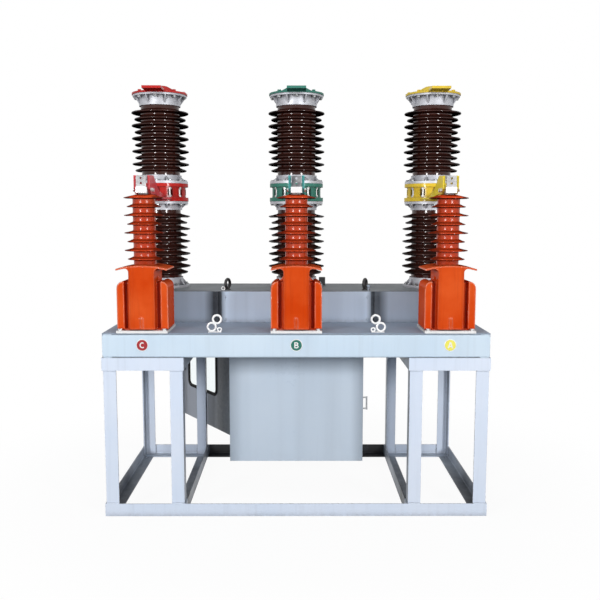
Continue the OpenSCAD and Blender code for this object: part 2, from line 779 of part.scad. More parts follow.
// Tower front view: straight sides under a thin domed roof with drooping wings.
module tower_section() {
    roof = ct_w / 2;
    root_z = tower_h - dome_r + sqrt(pow(dome_r - wing_t, 2) - pow(tower_w / 2 + roof_root, 2)) - roof_root;
    translate([-tower_w / 2, foot_h]) square([tower_w, tower_h - wing_t - foot_h]);
    intersection() {
        translate([-roof, tower_h - 60]) square([2 * roof, 61]);
        translate([0, tower_h - dome_r]) difference() {
            circle(dome_r, $fn = 180);
            circle(dome_r - wing_t, $fn = 180);
        }
    }
    // root fillets under the wings
    for (s = [0, 1]) mirror([s, 0]) difference() {
        translate([tower_w / 2 - 1, root_z]) square([roof_root + 1, roof_root + wing_t / 3]);
        translate([tower_w / 2 + roof_root, root_z]) circle(roof_root);
    }
}

// Side block: a coil cover with its upper outer edge rounded.
module block_section() {
    h = ct_shoulder;
    translate([0, foot_h]) square([block_w, h - shoulder_r - foot_h]);
    translate([0, h - shoulder_r - eps]) square([block_w - shoulder_r, shoulder_r + eps]);
    intersection() {
        translate([block_w - shoulder_r, h - shoulder_r]) circle(shoulder_r);
        translate([block_w - shoulder_r - eps, h - shoulder_r - eps]) square(shoulder_r + 1);
    }
}

// Cast-resin body: side blocks, a grooved core, the tower and the shedded column.
module ct_body(x) color("orangered")
    translate([x, ct_y, ct_z]) {
        // foot, set in from the body all round
        translate([-ct_w / 2 + 7, -ct_d / 2 + block_set + 7, 0]) cube([ct_w - 14, ct_d - 2 * block_set - 14, foot_h + 1]);
        // core behind the grooves
        translate([-ct_w / 2 + block_w - 1, -ct_d / 2 + block_set + 26, foot_h])
            cube([ct_w - 2 * block_w + 2, ct_d - 2 * block_set - 52, ct_shoulder - 6 - foot_h]);
        left_and_right() translate([ct_w / 2 - block_w, ct_d / 2 - block_set, 0]) rotate([90, 0, 0])
            linear_extrude(ct_d - 2 * block_set) block_section();
        // tower with bevelled edges
        intersection() {
            rotate([90, 0, 0]) translate([0, 0, -ct_d / 2]) linear_extrude(ct_d) tower_section();
            linear_extrude(tower_h + 1) polygon([
                [-ct_w / 2, -ct_d / 2 + 9], [-tower_w / 2, -ct_d / 2 + 9], [-tower_w / 2 + 14, -ct_d / 2],
                [tower_w / 2 - 14, -ct_d / 2], [tower_w / 2, -ct_d / 2 + 9], [ct_w / 2, -ct_d / 2 + 9],
                [ct_w / 2, ct_d / 2 - 9], [tower_w / 2, ct_d / 2 - 9], [tower_w / 2 - 14, ct_d / 2],
                [-tower_w / 2 + 14, ct_d / 2], [-tower_w / 2, ct_d / 2 - 9], [-ct_w / 2, ct_d / 2 - 9]]);
        }
        // small gussets where the tower leaves the shoulders
        left_and_right() translate([tower_w / 2 - 1, 4, ct_shoulder - 7]) rotate([90, 0, 0])
            linear_extrude(8) polygon([[0, 0], [26, 0], [0, 30]]);
        // locating rib at the foot of the tower
        translate([-7, -ct_d / 2 - 6, 6]) cube([14, 8, 52]);
        translate([0, -ct_d / 2 - 6, 58]) rotate([-90, 0, 0]) cylinder(h = 8, r = 7);
        // column
        translate([0, 0, tower_h - column_sunk]) rotate_extrude() column_section(column_h + column_sunk);
    }

column_sunk = 14; // the column's foot inside the tower
column_top_r = 36;
// Column half-section: its top shed slopes on up to the column's narrow top.
module column_section(h)
    intersection() {
        insulator_section(h, column_r, ct_shed_r, ct_small_shed_r, ct_shed_count, 11, 41, 16);
        polygon([[0, 0], [ct_shed_r + 1, 0], [ct_shed_r + 1, h - 12], [column_top_r, h], [0, h]]);
    }

neck_h = 6;
head_h = 29;
plate_h = 53;
terminal_t = 12;
terminal_front = 66; // the plate's front, from the column's axis
// Primary terminal: a neck, a head between the link's cheeks and a drilled plate.
module ct_terminal(x) color("gainsboro")
    translate([x, ct_y, ct_top_z]) {
        cylinder(h = neck_h, r = 27);
        translate([-arm_gap / 2, -terminal_front, neck_h - eps]) cube([arm_gap, terminal_front + 42, head_h]);
        difference() {
            translate([-terminal_w / 2, -terminal_front, neck_h + head_h - 2 * eps]) cube([terminal_w, terminal_t, plate_h]);
            for (k = [0, 1]) translate([0, -terminal_front - 1, neck_h + head_h + 17 + k * terminal_pitch])
                rotate([-90, 0, 0]) cylinder(h = terminal_t + 2, d = terminal_hole_d);
        }
    }

posts();
long_bottom_rails();
side_bottom_rails();
long_top_rails();
side_top_rails();
outer_beams();
side_beams();
mid_beams();
deck();
gear_box();
gear_lid();
gear_covers();
cabinet();
cabinet_handle();
hinge_leaves();
door();
window_seal();
window_pane();
door_latch();
mech_frame();
mech_drive();
mech_spring();
drive_rod();
lifting_eyes();
deck_eyes();
lid_terminal();
porcelain(pole_pitch);  // porcelain_a
fittings(pole_pitch);  // fittings_a
housing(pole_pitch, phase_a);  // housing_a
cap(pole_pitch, phase_a);  // cap_a
porcelain(0);  // porcelain_b
fittings(0);  // fittings_b
housing(0, phase_b);  // housing_b
cap(0, phase_b);  // cap_b
porcelain(-pole_pitch);  // porcelain_c
fittings(-pole_pitch);  // fittings_c
housing(-pole_pitch, phase_c);  // housing_c
cap(-pole_pitch, phase_c);  // cap_c
ct_base(pole_pitch);  // ct_base_a
ct_body(pole_pitch);  // ct_body_a
ct_terminal(pole_pitch);  // ct_terminal_a
ct_base(0);  // ct_base_b
ct_body(0);  // ct_body_b
ct_terminal(0);  // ct_terminal_b
ct_base(-pole_pitch);  // ct_base_c
ct_body(-pole_pitch);  // ct_body_c
ct_terminal(-pole_pitch);  // ct_terminal_c
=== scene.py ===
import bmesh
import bpy
import math
import random
from mathutils import Matrix, Vector, noise


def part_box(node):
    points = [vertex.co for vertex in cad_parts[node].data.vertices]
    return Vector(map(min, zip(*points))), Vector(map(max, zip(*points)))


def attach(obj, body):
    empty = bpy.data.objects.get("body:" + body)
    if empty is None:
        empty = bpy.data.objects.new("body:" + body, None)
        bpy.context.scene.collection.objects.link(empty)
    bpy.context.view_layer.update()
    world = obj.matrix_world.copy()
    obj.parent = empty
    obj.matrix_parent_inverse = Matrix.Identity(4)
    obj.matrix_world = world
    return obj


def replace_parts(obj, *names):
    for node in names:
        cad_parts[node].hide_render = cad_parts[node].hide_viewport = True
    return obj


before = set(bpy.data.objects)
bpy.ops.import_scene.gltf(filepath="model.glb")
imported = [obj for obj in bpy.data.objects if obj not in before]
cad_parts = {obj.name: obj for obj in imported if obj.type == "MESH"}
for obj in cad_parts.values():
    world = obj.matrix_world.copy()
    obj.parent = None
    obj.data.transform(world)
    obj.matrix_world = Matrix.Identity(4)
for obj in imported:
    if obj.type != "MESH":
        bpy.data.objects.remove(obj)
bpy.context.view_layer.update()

# ------------------------------------------------------------------ studio
# The breaker stands on a plain pale floor. Two tall soft boxes stand in front, left and
# right, a weak one hangs above and one lights the back; the room behind is white.
scene = bpy.context.scene
scene.view_settings.view_transform = "Standard"


def node(tree, kind, sockets={}, **settings):
    """One shader node, with its settings made and its sockets given a value or a link."""
    made = tree.nodes.new("ShaderNode" + kind)
    for name, value in settings.items():
        setattr(made, name, value)
    for name, value in sockets.items():
        if isinstance(value, bpy.types.NodeSocket):
            tree.links.new(value, made.inputs[name])
        else:
            made.inputs[name].default_value = value
    return made


def sums(tree, how, a, b=0.0, c=0.0, clamp=False):
    """One step of arithmetic between values."""
    return node(tree, "Math", {0: a, 1: b, 2: c}, operation=how, use_clamp=clamp).outputs[0]


def times(tree, a, b, clamp=False):
    return sums(tree, "MULTIPLY", a, b, clamp=clamp)


def plus(tree, a, b, clamp=False):
    return sums(tree, "ADD", a, b, clamp=clamp)


def minus(tree, a, b, clamp=False):
    return sums(tree, "SUBTRACT", a, b, clamp=clamp)


def tint(tree, amount, a, b):
    """Two colours mixed by an amount."""
    return node(tree, "Mix", {0: amount, 6: a, 7: b}, data_type="RGBA", clamp_factor=True).outputs[2]


def own_place(tree):
    """Each point's place in its own piece, in metres."""
    return node(tree, "TexCoord").outputs["Object"]


def looked_at(tree):
    """1 for a ray from the camera, through glass or off a shiny face, and 0 for the rest."""
    path = node(tree, "LightPath").outputs
    direct = plus(tree, path["Is Camera Ray"], path["Is Transmission Ray"])
    return plus(tree, direct, path["Is Glossy Ray"], clamp=True)


camera = bpy.data.objects.new("camera", bpy.data.cameras.new("camera"))
scene.collection.objects.link(camera)
scene.camera = camera
camera.data.lens = 46.70
camera.data.shift_y = 0.01167
camera.location = (-0.0006, -4.247, 1.4857)
camera.rotation_euler = (math.radians(90 - 6.65), math.radians(-0.06), math.radians(-0.27))

floor_mesh = bpy.data.meshes.new("floor")
half = 20
corners = [(-half, -half, 0), (half, -half, 0), (half, half, 0), (-half, half, 0)]
floor_mesh.from_pydata(corners, [], [(0, 1, 2, 3)])
floor = bpy.data.objects.new("floor", floor_mesh)
scene.collection.objects.link(floor)

floor_paint = bpy.data.materials.new("floor")
floor_paint.use_nodes = True
tree = floor_paint.node_tree
tree.nodes.clear()
seen = looked_at(tree)
away = node(tree, "VectorMath", {0: own_place(tree)}, operation="LENGTH").outputs["Value"]
far = node(tree, "MapRange", {"Value": away, "From Min": 0.9, "From Max": 2.3, "To Min": 0.945, "To Max": 1.0},
    interpolation_type="SMOOTHSTEP").outputs[0]
shade = tint(tree, seen, (0.20, 0.21, 0.22, 1), (0.80, 0.81, 0.82, 1))
mixed = node(tree, "MixShader", {
    0: times(tree, seen, far),
    1: node(tree, "BsdfDiffuse", {"Color": shade}).outputs[0],
    2: node(tree, "Emission", {"Color": (1, 1, 1, 1), "Strength": 1.0}).outputs[0]})
node(tree, "OutputMaterial", {"Surface": mixed.outputs[0]})
floor_mesh.materials.append(floor_paint)

scene.world = bpy.data.worlds.new("room")
scene.world.use_nodes = True
tree = scene.world.node_tree
tree.nodes.clear()
seen = looked_at(tree)
room = node(tree, "Background", {"Color": (1, 1, 1, 1),
    "Strength": sums(tree, "MULTIPLY_ADD", seen, 0.82, 0.18)})
node(tree, "OutputWorld", {"Surface": room.outputs[0]})


def soft_box(name, place, aim, size, power, mirrored=True):
    """An oblong lamp at a place, aimed at a point; mirrored is whether shiny faces show it."""
    lamp = bpy.data.objects.new(name, bpy.data.lights.new(name, "AREA"))
    scene.collection.objects.link(lamp)
    lamp.data.shape = "RECTANGLE"
    lamp.data.size, lamp.data.size_y = size
    lamp.data.energy = power
    lamp.location = place
    lamp.rotation_euler = (Vector(aim) - Vector(place)).to_track_quat("-Z", "Y").to_euler()
    lamp.visible_glossy = mirrored


soft_box("left soft box", (-2.8, -4.5, 2.0), (0, 0, 1.1), (0.72, 1.10), 127)
soft_box("right soft box", (2.8, -4.5, 2.0), (0, 0, 1.1), (0.72, 1.10), 126)
soft_box("top soft box", (0, -0.8, 5.0), (0, 0, 1.0), (2.8, 1.6), 46)
soft_box("back soft box", (-1.2, 4.6, 2.4), (0, 0, 1.0), (2.6, 1.6), 75, mirrored=False)


# ------------------------------------------------------------------ stand
# Eight posts of rolled steel angle stand in two long and four cross rails, tied at the top
# by short rails; all joints are arc welded, then sprayed with a pale blue-grey paint.
def group_of(name, inputs, outputs):
    """An empty shader node group with these named sockets, and its two end nodes."""
    made = bpy.data.node_groups.new(name, "ShaderNodeTree")
    for title, value in inputs.items():
        kind = "NodeSocketColor" if isinstance(value, tuple) else "NodeSocketFloat"
        made.interface.new_socket(name=title, in_out="INPUT", socket_type=kind).default_value = value
    for title in outputs:
        kind = "NodeSocketColor" if title == "Color" else "NodeSocketFloat"
        made.interface.new_socket(name=title, in_out="OUTPUT", socket_type=kind)
    return made, made.nodes.new("NodeGroupInput").outputs, made.nodes.new("NodeGroupOutput").inputs


def own_xyz(tree):
    """That place as three values."""
    return node(tree, "SeparateXYZ", {0: own_place(tree)}).outputs


def grain(tree, scale, detail, stretch=None):
    """Noise in the piece's own metres, from 0 to 1."""
    place = own_place(tree)
    if stretch:
        place = node(tree, "Mapping", {"Vector": place, "Scale": stretch}).outputs[0]
    return node(tree, "TexNoise", {"Vector": place, "Scale": scale, "Detail": detail,
        "Roughness": 0.55}).outputs[0]


def between(tree, value, low, high, to_low=0.0, to_high=1.0):
    """A value's place between low and high, held from to_low to to_high."""
    return node(tree, "MapRange", {"Value": value, "From Min": low, "From Max": high, "To Min": to_low,
        "To Max": to_high}).outputs[0]


# How much a point lies on a worn edge or in a corner, where grime gathers and shade falls, whether it faces up,
# sideways or down, and where the stand's faces take painted shade: turned in, in shelter at the back, or low to
# the front.
edges, _, ends = group_of("edges and corners", {}, ("Edge", "Corner", "Up", "Upright", "Under shade", "Inward shade"))
flat = node(edges, "NewGeometry").outputs["Normal"]
turned = node(edges, "Bevel", {"Radius": 0.004}, samples=6).outputs[0]
agree = node(edges, "VectorMath", {0: flat, 1: turned}, operation="DOT_PRODUCT").outputs["Value"]
open_sky = node(edges, "AmbientOcclusion", {"Distance": 0.045}, samples=6).outputs["AO"]
corner = between(edges, open_sky, 0.80, 0.35)
edges.links.new(times(edges, between(edges, agree, 0.985, 0.80), minus(edges, 1.0, corner, clamp=True)),
    ends["Edge"])
edges.links.new(corner, ends["Corner"])
facing = node(edges, "SeparateXYZ", {0: flat}).outputs
where = own_xyz(edges)
up = facing["Z"]
edges.links.new(between(edges, up, -0.35, -0.85), ends["Under shade"])
# Painted shade goes on the faces turned in between the posts and on the faces in shelter at the back,
# most of all low down and to the front.
off_centre = sums(edges, "ABSOLUTE", where["X"])
inward_shade = times(edges, between(edges, times(edges, facing["X"], sums(edges, "SIGN", where["X"])), -0.5, -0.9),
    between(edges, off_centre, 0.5, 0.56))
sheltered_shade = times(edges, between(edges, off_centre, 0.556, 0.542), between(edges, where["Y"], 0.30, 0.34))
sheltered_shade = times(edges, sheltered_shade, between(edges, facing["Y"], 0.7, 0.3))
low_down = between(edges, where["Z"], 0.075, 0.066)
between_rails = times(edges, between(edges, where["Y"], 0.447, 0.440),
    between(edges, where["Y"], -0.440, -0.432))
low_front_shade = times(edges, times(edges, low_down, between_rails),
    between(edges, where["Y"], 0.40, -0.40, 0.45, 1.25))
painted_inner_shade = times(edges, sums(edges, "MAXIMUM", inward_shade, sheltered_shade),
    between(edges, where["Y"], 0.30, -0.42, 0.72, 1.0))
painted_inner_shade = sums(edges, "MAXIMUM", painted_inner_shade, times(edges, times(edges, sheltered_shade, low_down), 1.35))
edges.links.new(sums(edges, "MAXIMUM", painted_inner_shade, low_front_shade), ends["Inward shade"])
edges.links.new(between(edges, up, 0.45, 0.95), ends["Up"])
edges.links.new(between(edges, sums(edges, "ABSOLUTE", up), 0.75, 0.25), ends["Upright"])

# A sprayed paint film outdoors: mottled, chalking, dusty on top, with rain runs and bare edges. Corners darken
# with grime and painted shade, and the stand's faces turned in and in shelter take painted shade. A band at one
# distance to either side takes painted shade, upright streaks are painted reflections, and all that lies
# before one depth takes a tint: a painted highlight where it is paler, a painted shade where it is darker.
film, given, ends = group_of("weathered paint", {
    "Paint": (0.7, 0.8, 0.9, 1), "Chalked": (0.75, 0.8, 0.85, 1), "Dust": (0.3, 0.3, 0.3, 1),
    "Bare": (0.25, 0.26, 0.28, 1), "Dust cover": 0.5, "Runs": 0.2, "Wear": 0.5, "Corner shade and grime": 0.5, "Sheen": 0.4,
    "Inner shade": 0.0, "Reflection bands": 0.0, "Joint shade": 0.0, "Joint shade from": 0.4, "Joint shade reach": 0.08,
    "Lighting tint": (0.8, 0.8, 0.8, 1), "Lighting tint before": -9.0, "Lighting tint edge": 0.004, "Polish": 0.0},
    ("Color", "Roughness", "Height", "Shine"))
place = node(film, "Group", node_tree=edges).outputs
broad = between(film, grain(film, 2.1, 5), 0.36, 0.66)
fine = grain(film, 46, 4)
colour = tint(film, times(film, plus(film, broad, times(film, fine, 0.5)), 0.55), given["Paint"],
    given["Chalked"])
where = own_xyz(film)
# a tint on all that lies before one depth: a painted highlight where paler, as on the phase arms, and a painted
# shade where darker, as on the door
stray = times(film, minus(film, grain(film, 6, 4), 0.5), given["Lighting tint edge"])
lighting_tint_ahead = minus(film, plus(film, given["Lighting tint before"], stray), where["Y"])
lighting_tint_ahead = between(film, lighting_tint_ahead, times(film, given["Lighting tint edge"], -1.0), given["Lighting tint edge"])
colour = tint(film, lighting_tint_ahead, colour, tint(film, times(film, fine, 0.5), given["Lighting tint"], colour))
# upright streaks towards a dark blue-grey are painted reflections
colour = tint(film, times(film, between(film, grain(film, 1.0, 1.5, (7, 7, 0.35)), 0.46, 0.70), given["Reflection bands"]),
    colour, tint(film, 0.5, colour, (0.10, 0.12, 0.15, 1)))
run = times(film, between(film, grain(film, 1.0, 5, (34, 34, 1.3)), 0.52, 0.80),
    times(film, place["Upright"], given["Runs"]))
colour = tint(film, run, colour, tint(film, 0.55, colour, (0.05, 0.05, 0.05, 1)))
# corners darken towards near black: grime and painted shade
dirt_and_shade = times(film, times(film, place["Corner"], given["Corner shade and grime"]), between(film, fine, 0.25, 0.65, 0.45, 1.0))
colour = tint(film, times(film, dirt_and_shade, 0.7), colour, (0.045, 0.043, 0.042, 1))
settled = times(film, times(film, place["Up"], given["Dust cover"]),
    between(film, grain(film, 9, 6), 0.30, 0.62, 0.62, 1.0))
colour = tint(film, settled, colour, given["Dust"])
# painted shade, a dark blue-grey, on the stand's faces turned in, in shelter at the back and low to the front
inner_shade = times(film, times(film, place["Inward shade"], given["Inner shade"]),
    between(film, grain(film, 6, 5), 0.25, 0.65, 0.72, 1.0))
colour = tint(film, inner_shade, colour, (0.034, 0.035, 0.039, 1))
# painted shade in a band at one distance to either side, used beside the joints of the gear box covers
sideways = sums(film, "ABSOLUTE", where["X"])
reach = given["Joint shade reach"]
inner_side = between(film, sideways, minus(film, given["Joint shade from"], times(film, reach, 0.4)),
    given["Joint shade from"])
outer_side = between(film, sideways, given["Joint shade from"], plus(film, given["Joint shade from"], reach), 1.5, 0.28)
joint_shade = times(film, times(film, sums(film, "MINIMUM", inner_side, outer_side), given["Joint shade"]),
    between(film, grain(film, 5, 4), 0.3, 0.65, 0.85, 1.0))
colour = tint(film, joint_shade, colour, (0.022, 0.025, 0.031, 1))
bare = times(film, times(film, place["Edge"], given["Wear"]), between(film, grain(film, 75, 5), 0.47, 0.58),
    clamp=True)
film.links.new(tint(film, bare, colour, given["Bare"]), ends["Color"])
sheen = plus(film, given["Sheen"], times(film, plus(film, minus(film, fine, 0.5), broad), 0.12))
film.links.new(plus(film, sheen, times(film, plus(film, settled, dirt_and_shade), 0.28), clamp=True), ends["Roughness"])
film.links.new(times(film, times(film, place["Upright"], given["Polish"]),
    between(film, broad, 0.0, 1.0, 0.8, 1.0)), ends["Shine"])
peel = plus(film, times(film, grain(film, 520, 1.5), 0.35), times(film, grain(film, 11, 2), 1.1))
film.links.new(minus(film, plus(film, peel, times(film, settled, 0.12)), times(film, bare, 0.45)),
    ends["Height"])


def finish(name, surface, values, bump=0.0008, soft_edge=0.0015, **shader):
    """A material: one of the surface groups with its own values, on a Principled shader."""
    made = bpy.data.materials.new(name)
    made.use_nodes = True
    tree = made.node_tree
    tree.nodes.clear()
    skin = node(tree, "Group", values, node_tree=surface).outputs
    rounded = node(tree, "Bevel", {"Radius": soft_edge}, samples=6).outputs[0]
    relief = node(tree, "Bump", {"Height": skin["Height"], "Normal": rounded, "Distance": bump,
        "Strength": 1.0}).outputs[0]
    sockets = {"Base Color": skin["Color"], "Roughness": skin["Roughness"], "Normal": relief}
    if "Shine" in skin:
        sockets["Coat Weight"] = skin["Shine"]
    sockets.update({title.replace("_", " "): value for title, value in shader.items()})
    node(tree, "OutputMaterial", {"Surface": node(tree, "BsdfPrincipled", sockets).outputs[0]})
    return made


def dress(material, *names):
    """Gives CAD nodes their material."""
    for name in names:
        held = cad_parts[name].data.materials
        held.clear()
        held.append(material)


# the stand's faces turned in towards the middle and in shelter at the back take painted shade
stand_paint = finish("stand paint", film, {
    "Paint": (0.690, 0.785, 0.940, 1), "Chalked": (0.765, 0.825, 0.940, 1), "Dust": (0.30, 0.33, 0.37, 1),
    "Dust cover": 0.75, "Runs": 0.16, "Wear": 0.55, "Corner shade and grime": 0.8, "Sheen": 0.36, "Inner shade": 0.86},
    Specular_IOR_Level=0.35)
dress(stand_paint, "posts", "long_bottom_rails", "side_bottom_rails", "long_top_rails", "side_top_rails")


def piece(name, mesh, material, smooth, body="breaker"):
    """A finished mesh as one object on a body.
    smooth is the angle, in degrees, up to which faces are shaded as one."""
    data = mesh
    if isinstance(mesh, bmesh.types.BMesh):
        bmesh.ops.recalc_face_normals(mesh, faces=mesh.faces)
        data = bpy.data.meshes.new(name)
        mesh.to_mesh(data)
        mesh.free()
    data.shade_smooth()
    data.set_sharp_from_angle(angle=math.radians(smooth))
    made = bpy.data.objects.new(name, data)
    data.materials.append(material)
    scene.collection.objects.link(made)
    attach(made, body)
    return made


def ring(mesh, sides, place):
    """A ring of vertices; place gives the point for an angle."""
    return [mesh.verts.new(place(2 * math.pi * k / sides)) for k in range(sides)]


def wall(mesh, low, high):
    """Faces between one ring and the next."""
    for k in range(len(low)):
        n = (k + 1) % len(low)
        mesh.faces.new((low[k], low[n], high[n], high[k]))


def tube(mesh, points, radii, sides):
    """A round bar through points, with a radius at each, closed at both ends."""
    rings = []
    for i, point in enumerate(points):
        before, after = points[max(i - 1, 0)], points[min(i + 1, len(points) - 1)]
        turn = (Vector(after) - Vector(before)).to_track_quat("Z", "Y")
        rings.append(ring(mesh, sides, lambda a: Vector(point) + turn @ Vector(
            (radii[i] * math.cos(a), radii[i] * math.sin(a), 0))))
    for low, high in zip(rings, rings[1:]):
        wall(mesh, low, high)
    mesh.faces.new(rings[0][::-1])
    mesh.faces.new(rings[-1])


def weld_bead(mesh, start, end):
    """A rippled fillet of weld metal from start to end."""
    size, ripple = 0.0034, 0.0016
    start, end = Vector(start), Vector(end)
    steps = max(6, int((end - start).length / ripple))
    points, radii = [], []
    for i in range(steps + 1):
        t = i / steps
        wander = noise.noise(Vector((i * 0.37, start.x * 9, start.z * 9))) * 0.0005
        points.append(start.lerp(end, t) + Vector((wander, wander, wander)))
        radii.append(size * (0.84 + 0.16 * abs(math.sin(i * 1.25))) * min(1, 0.5 + 4 * min(t, 1 - t)))
    tube(mesh, points, radii, 8)


welds = bmesh.new()
low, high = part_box("posts")
_, rail_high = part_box("long_bottom_rails")
leg, angle_t, bay = 0.063, 0.006, 0.400
half_w, half_d, stand_h = rail_high.x, rail_high.y, high.z + angle_t
lift, aside = 0.001, 0.002
outer_leg, inner_leg = half_w - angle_t, half_w - bay + angle_t
post_legs = ((outer_leg, outer_leg - leg), (inner_leg, inner_leg + leg))
for side in (-1, 1):
    for face in (-1, 1):
        y = face * (half_d - angle_t / 2)
        for a, b in post_legs:
            for z in (leg + lift, stand_h - leg - lift):
                weld_bead(welds, (side * a, y, z), (side * b, y, z))
            inner = face * (half_d - angle_t - aside)
            edge = side * (b + aside if b > a else b - aside)
            weld_bead(welds, (edge, inner, angle_t + aside), (edge, inner, leg - 2 * aside))
        x, outer = side * (half_w - angle_t / 2), half_d - angle_t
        for z in (leg + lift, stand_h - leg - lift):
            weld_bead(welds, (x, face * outer, z), (x, face * (outer - leg), z))
piece("stand_welds", welds, stand_paint, smooth=60)

# ------------------------------------------------------------------ platform and phase discs
# Folded channels lie on the stand under a deck plate in darker grey. A small enamelled disc
# with its phase letter is fixed to the front channel below each transformer.
# the channels show faint painted reflection streaks
beam_paint = finish("channel paint", film, {
    "Paint": (0.600, 0.740, 0.880, 1), "Chalked": (0.670, 0.785, 0.890, 1), "Dust": (0.30, 0.33, 0.37, 1),
    "Dust cover": 0.75, "Runs": 0.14, "Wear": 0.55, "Corner shade and grime": 0.8, "Sheen": 0.34, "Reflection bands": 0.12})
dress(beam_paint, "outer_beams", "side_beams", "mid_beams")
deck_paint = finish("deck paint", film, {
    "Paint": (0.235, 0.305, 0.410, 1), "Chalked": (0.330, 0.400, 0.500, 1), "Dust": (0.300, 0.360, 0.450, 1),
    "Dust cover": 0.55, "Runs": 0.1, "Wear": 0.7, "Corner shade and grime": 0.9, "Sheen": 0.38}, Specular_IOR_Level=0.30)
dress(deck_paint, "deck")


def lathe(mesh, profile, centre, sides, along=(0, 0, 1), closed=False):
    """Turns a half-section of (radius, height) points round an axis through centre.
    A closed half-section makes a ring."""
    upright = tuple(along) == (0, 0, 1)
    turn = Matrix.Identity(3).to_quaternion() if upright else Vector(along).to_track_quat("Z", "Y")
    centre = Vector(centre)
    rings = []
    for r, h in profile:
        if r < 1e-7:
            rings.append([mesh.verts.new(centre + turn @ Vector((0, 0, h)))])
        else:
            rings.append(ring(mesh, sides,
                lambda a: centre + turn @ Vector((r * math.cos(a), r * math.sin(a), h))))
    for low, high in zip(rings, rings[1:] + rings[:1] if closed else rings[1:]):
        if len(low) > 1 and len(high) > 1:
            wall(mesh, low, high)
        elif len(high) > 1:
            for k in range(sides):
                mesh.faces.new((low[0], high[(k + 1) % sides], high[k]))
        elif len(low) > 1:
            for k in range(sides):
                mesh.faces.new((low[k], low[(k + 1) % sides], high[0]))
    for end in () if closed else (rings[0][::-1], rings[-1]):
        if len(end) > 1:
            mesh.faces.new(end)


enamels = {"white": (0.90, 0.90, 0.90, 1), "a": (0.86, 0.80, 0.12, 1), "b": (0.010, 0.150, 0.110, 1),
    "c": (0.360, 0.014, 0.020, 1)}
enamel = {}
for key, tone in enamels.items():
    chalked = tuple(min(1, v * 1.08 + 0.01) for v in tone[:3]) + (1,)
    enamel[key] = finish("disc enamel " + key, film, {
        "Paint": tone, "Chalked": chalked, "Dust": (0.4, 0.4, 0.4, 1), "Dust cover": 0.3, "Runs": 0.1,
        "Wear": 0.25, "Corner shade and grime": 0.3, "Sheen": 0.22}, bump=0.0003)


def bow(x, z, wide, high, start, end, steps):
    """Points of an elliptic arc, with its angles in degrees."""
    angles = [math.radians(start + (end - start) * i / steps) for i in range(steps + 1)]
    return [(x + wide * math.cos(a), z + high * math.sin(a)) for a in angles]


def stroke(mesh, points, place):
    """One stroke of a letter: a flat ribbon along points, raised from the front of the disc."""
    width, thick = 0.0052, 0.0007
    section = ((-1, 0), (-1, thick * 0.7), (-0.9, thick), (0.9, thick), (1, thick * 0.7), (1, 0))
    x, y, z = place
    ribs = []
    for i, point in enumerate(points):
        before, after = points[max(i - 1, 0)], points[min(i + 1, len(points) - 1)]
        along = Vector((after[0] - before[0], 0, after[1] - before[1])).normalized()
        out = Vector((-along.z, 0, along.x)) * width / 2
        middle = Vector((x + point[0], y, z + point[1]))
        ribs.append([mesh.verts.new(middle + out * side + Vector((0, -high, 0))) for side, high in section])
    for one, two in zip(ribs, ribs[1:]):
        wall(mesh, one, two)
    mesh.faces.new(ribs[0])
    mesh.faces.new(ribs[-1][::-1])


letters = {
    "a": [[(-0.0105, -0.0145), (-0.0010, 0.0145)], [(0.0105, -0.0145), (0.0010, 0.0145)],
          [(-0.0070, -0.0055), (0.0070, -0.0055)]],
    "b": [[(-0.0075, -0.0148), (-0.0075, 0.0148)],
          [(-0.0065, 0.0122), (0.0010, 0.0122), *bow(0.0010, 0.0068, 0.0060, 0.0054, 80, -80, 8),
           (0.0010, 0.0014), (-0.0065, 0.0014)],
          [(-0.0065, -0.0006), (0.0015, -0.0006), *bow(0.0015, -0.0064, 0.0068, 0.0058, 80, -80, 8),
           (0.0015, -0.0122), (-0.0065, -0.0122)]],
    "c": [bow(0.0010, 0, 0.0105, 0.0120, 48, 312, 20)]}
beam_low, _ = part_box("outer_beams")
disc_z = beam_low.z + 0.062
phase_x = {"a": 0.75, "b": 0.0, "c": -0.75}
forwards = (0, -1, 0)
letter_out = 0.0019
for phase, x in phase_x.items():
    y = beam_low.y
    plate = bmesh.new()
    lathe(plate, [(0, 0), (0.0300, 0), (0.0300, 0.0008), (0.0294, 0.0013), (0, 0.0013)], (x, y, disc_z), 72,
        forwards)
    piece("phase_disc_" + phase, plate, enamel["white"], smooth=30)
    field = bmesh.new()
    lathe(field, [(0, 0.0010), (0.0266, 0.0010), (0.0266, 0.0016), (0.0260, 0.0020), (0, 0.0020)],
        (x, y, disc_z), 72, forwards)
    piece("phase_field_" + phase, field, enamel[phase], smooth=30)
    letter = bmesh.new()
    # each stroke stands a hair further out, so that no two faces share a plane
    for n, points in enumerate(letters[phase]):
        stroke(letter, points, (x, y - letter_out - 0.0001 * n, disc_z))
    piece("phase_letter_" + phase, letter, enamel["white"], smooth=25)

# ------------------------------------------------------------------ gear box
# A folded sheet housing holds the levers. Its lid is screwed down along the back and sides,
# and three front covers are held by small hex screws near their edges.
# the gear box paint takes painted shade beside the joints of its front covers, and painted reflection streaks
box_paint = finish("box paint", film, {
    "Paint": (0.565, 0.695, 0.860, 1), "Chalked": (0.645, 0.755, 0.890, 1), "Dust": (0.110, 0.124, 0.140, 1),
    "Dust cover": 0.95, "Runs": 0.10, "Wear": 0.45, "Corner shade and grime": 1.0, "Sheen": 0.30, "Reflection bands": 0.25, "Joint shade": 0.98,
    "Joint shade from": 0.408, "Joint shade reach": 0.085}, Specular_IOR_Level=0.20)
dress(box_paint, "gear_box", "gear_covers")
# the lid is painted dark grey as painted shade on its top faces
lid_paint_shaded = finish("lid paint as painted shade", film, {
    "Paint": (0.165, 0.185, 0.205, 1), "Chalked": (0.220, 0.242, 0.262, 1), "Dust": (0.165, 0.180, 0.195, 1),
    "Dust cover": 0.8, "Runs": 0.1, "Wear": 0.6, "Corner shade and grime": 0.8, "Sheen": 0.42})
dress(lid_paint_shaded, "gear_lid")


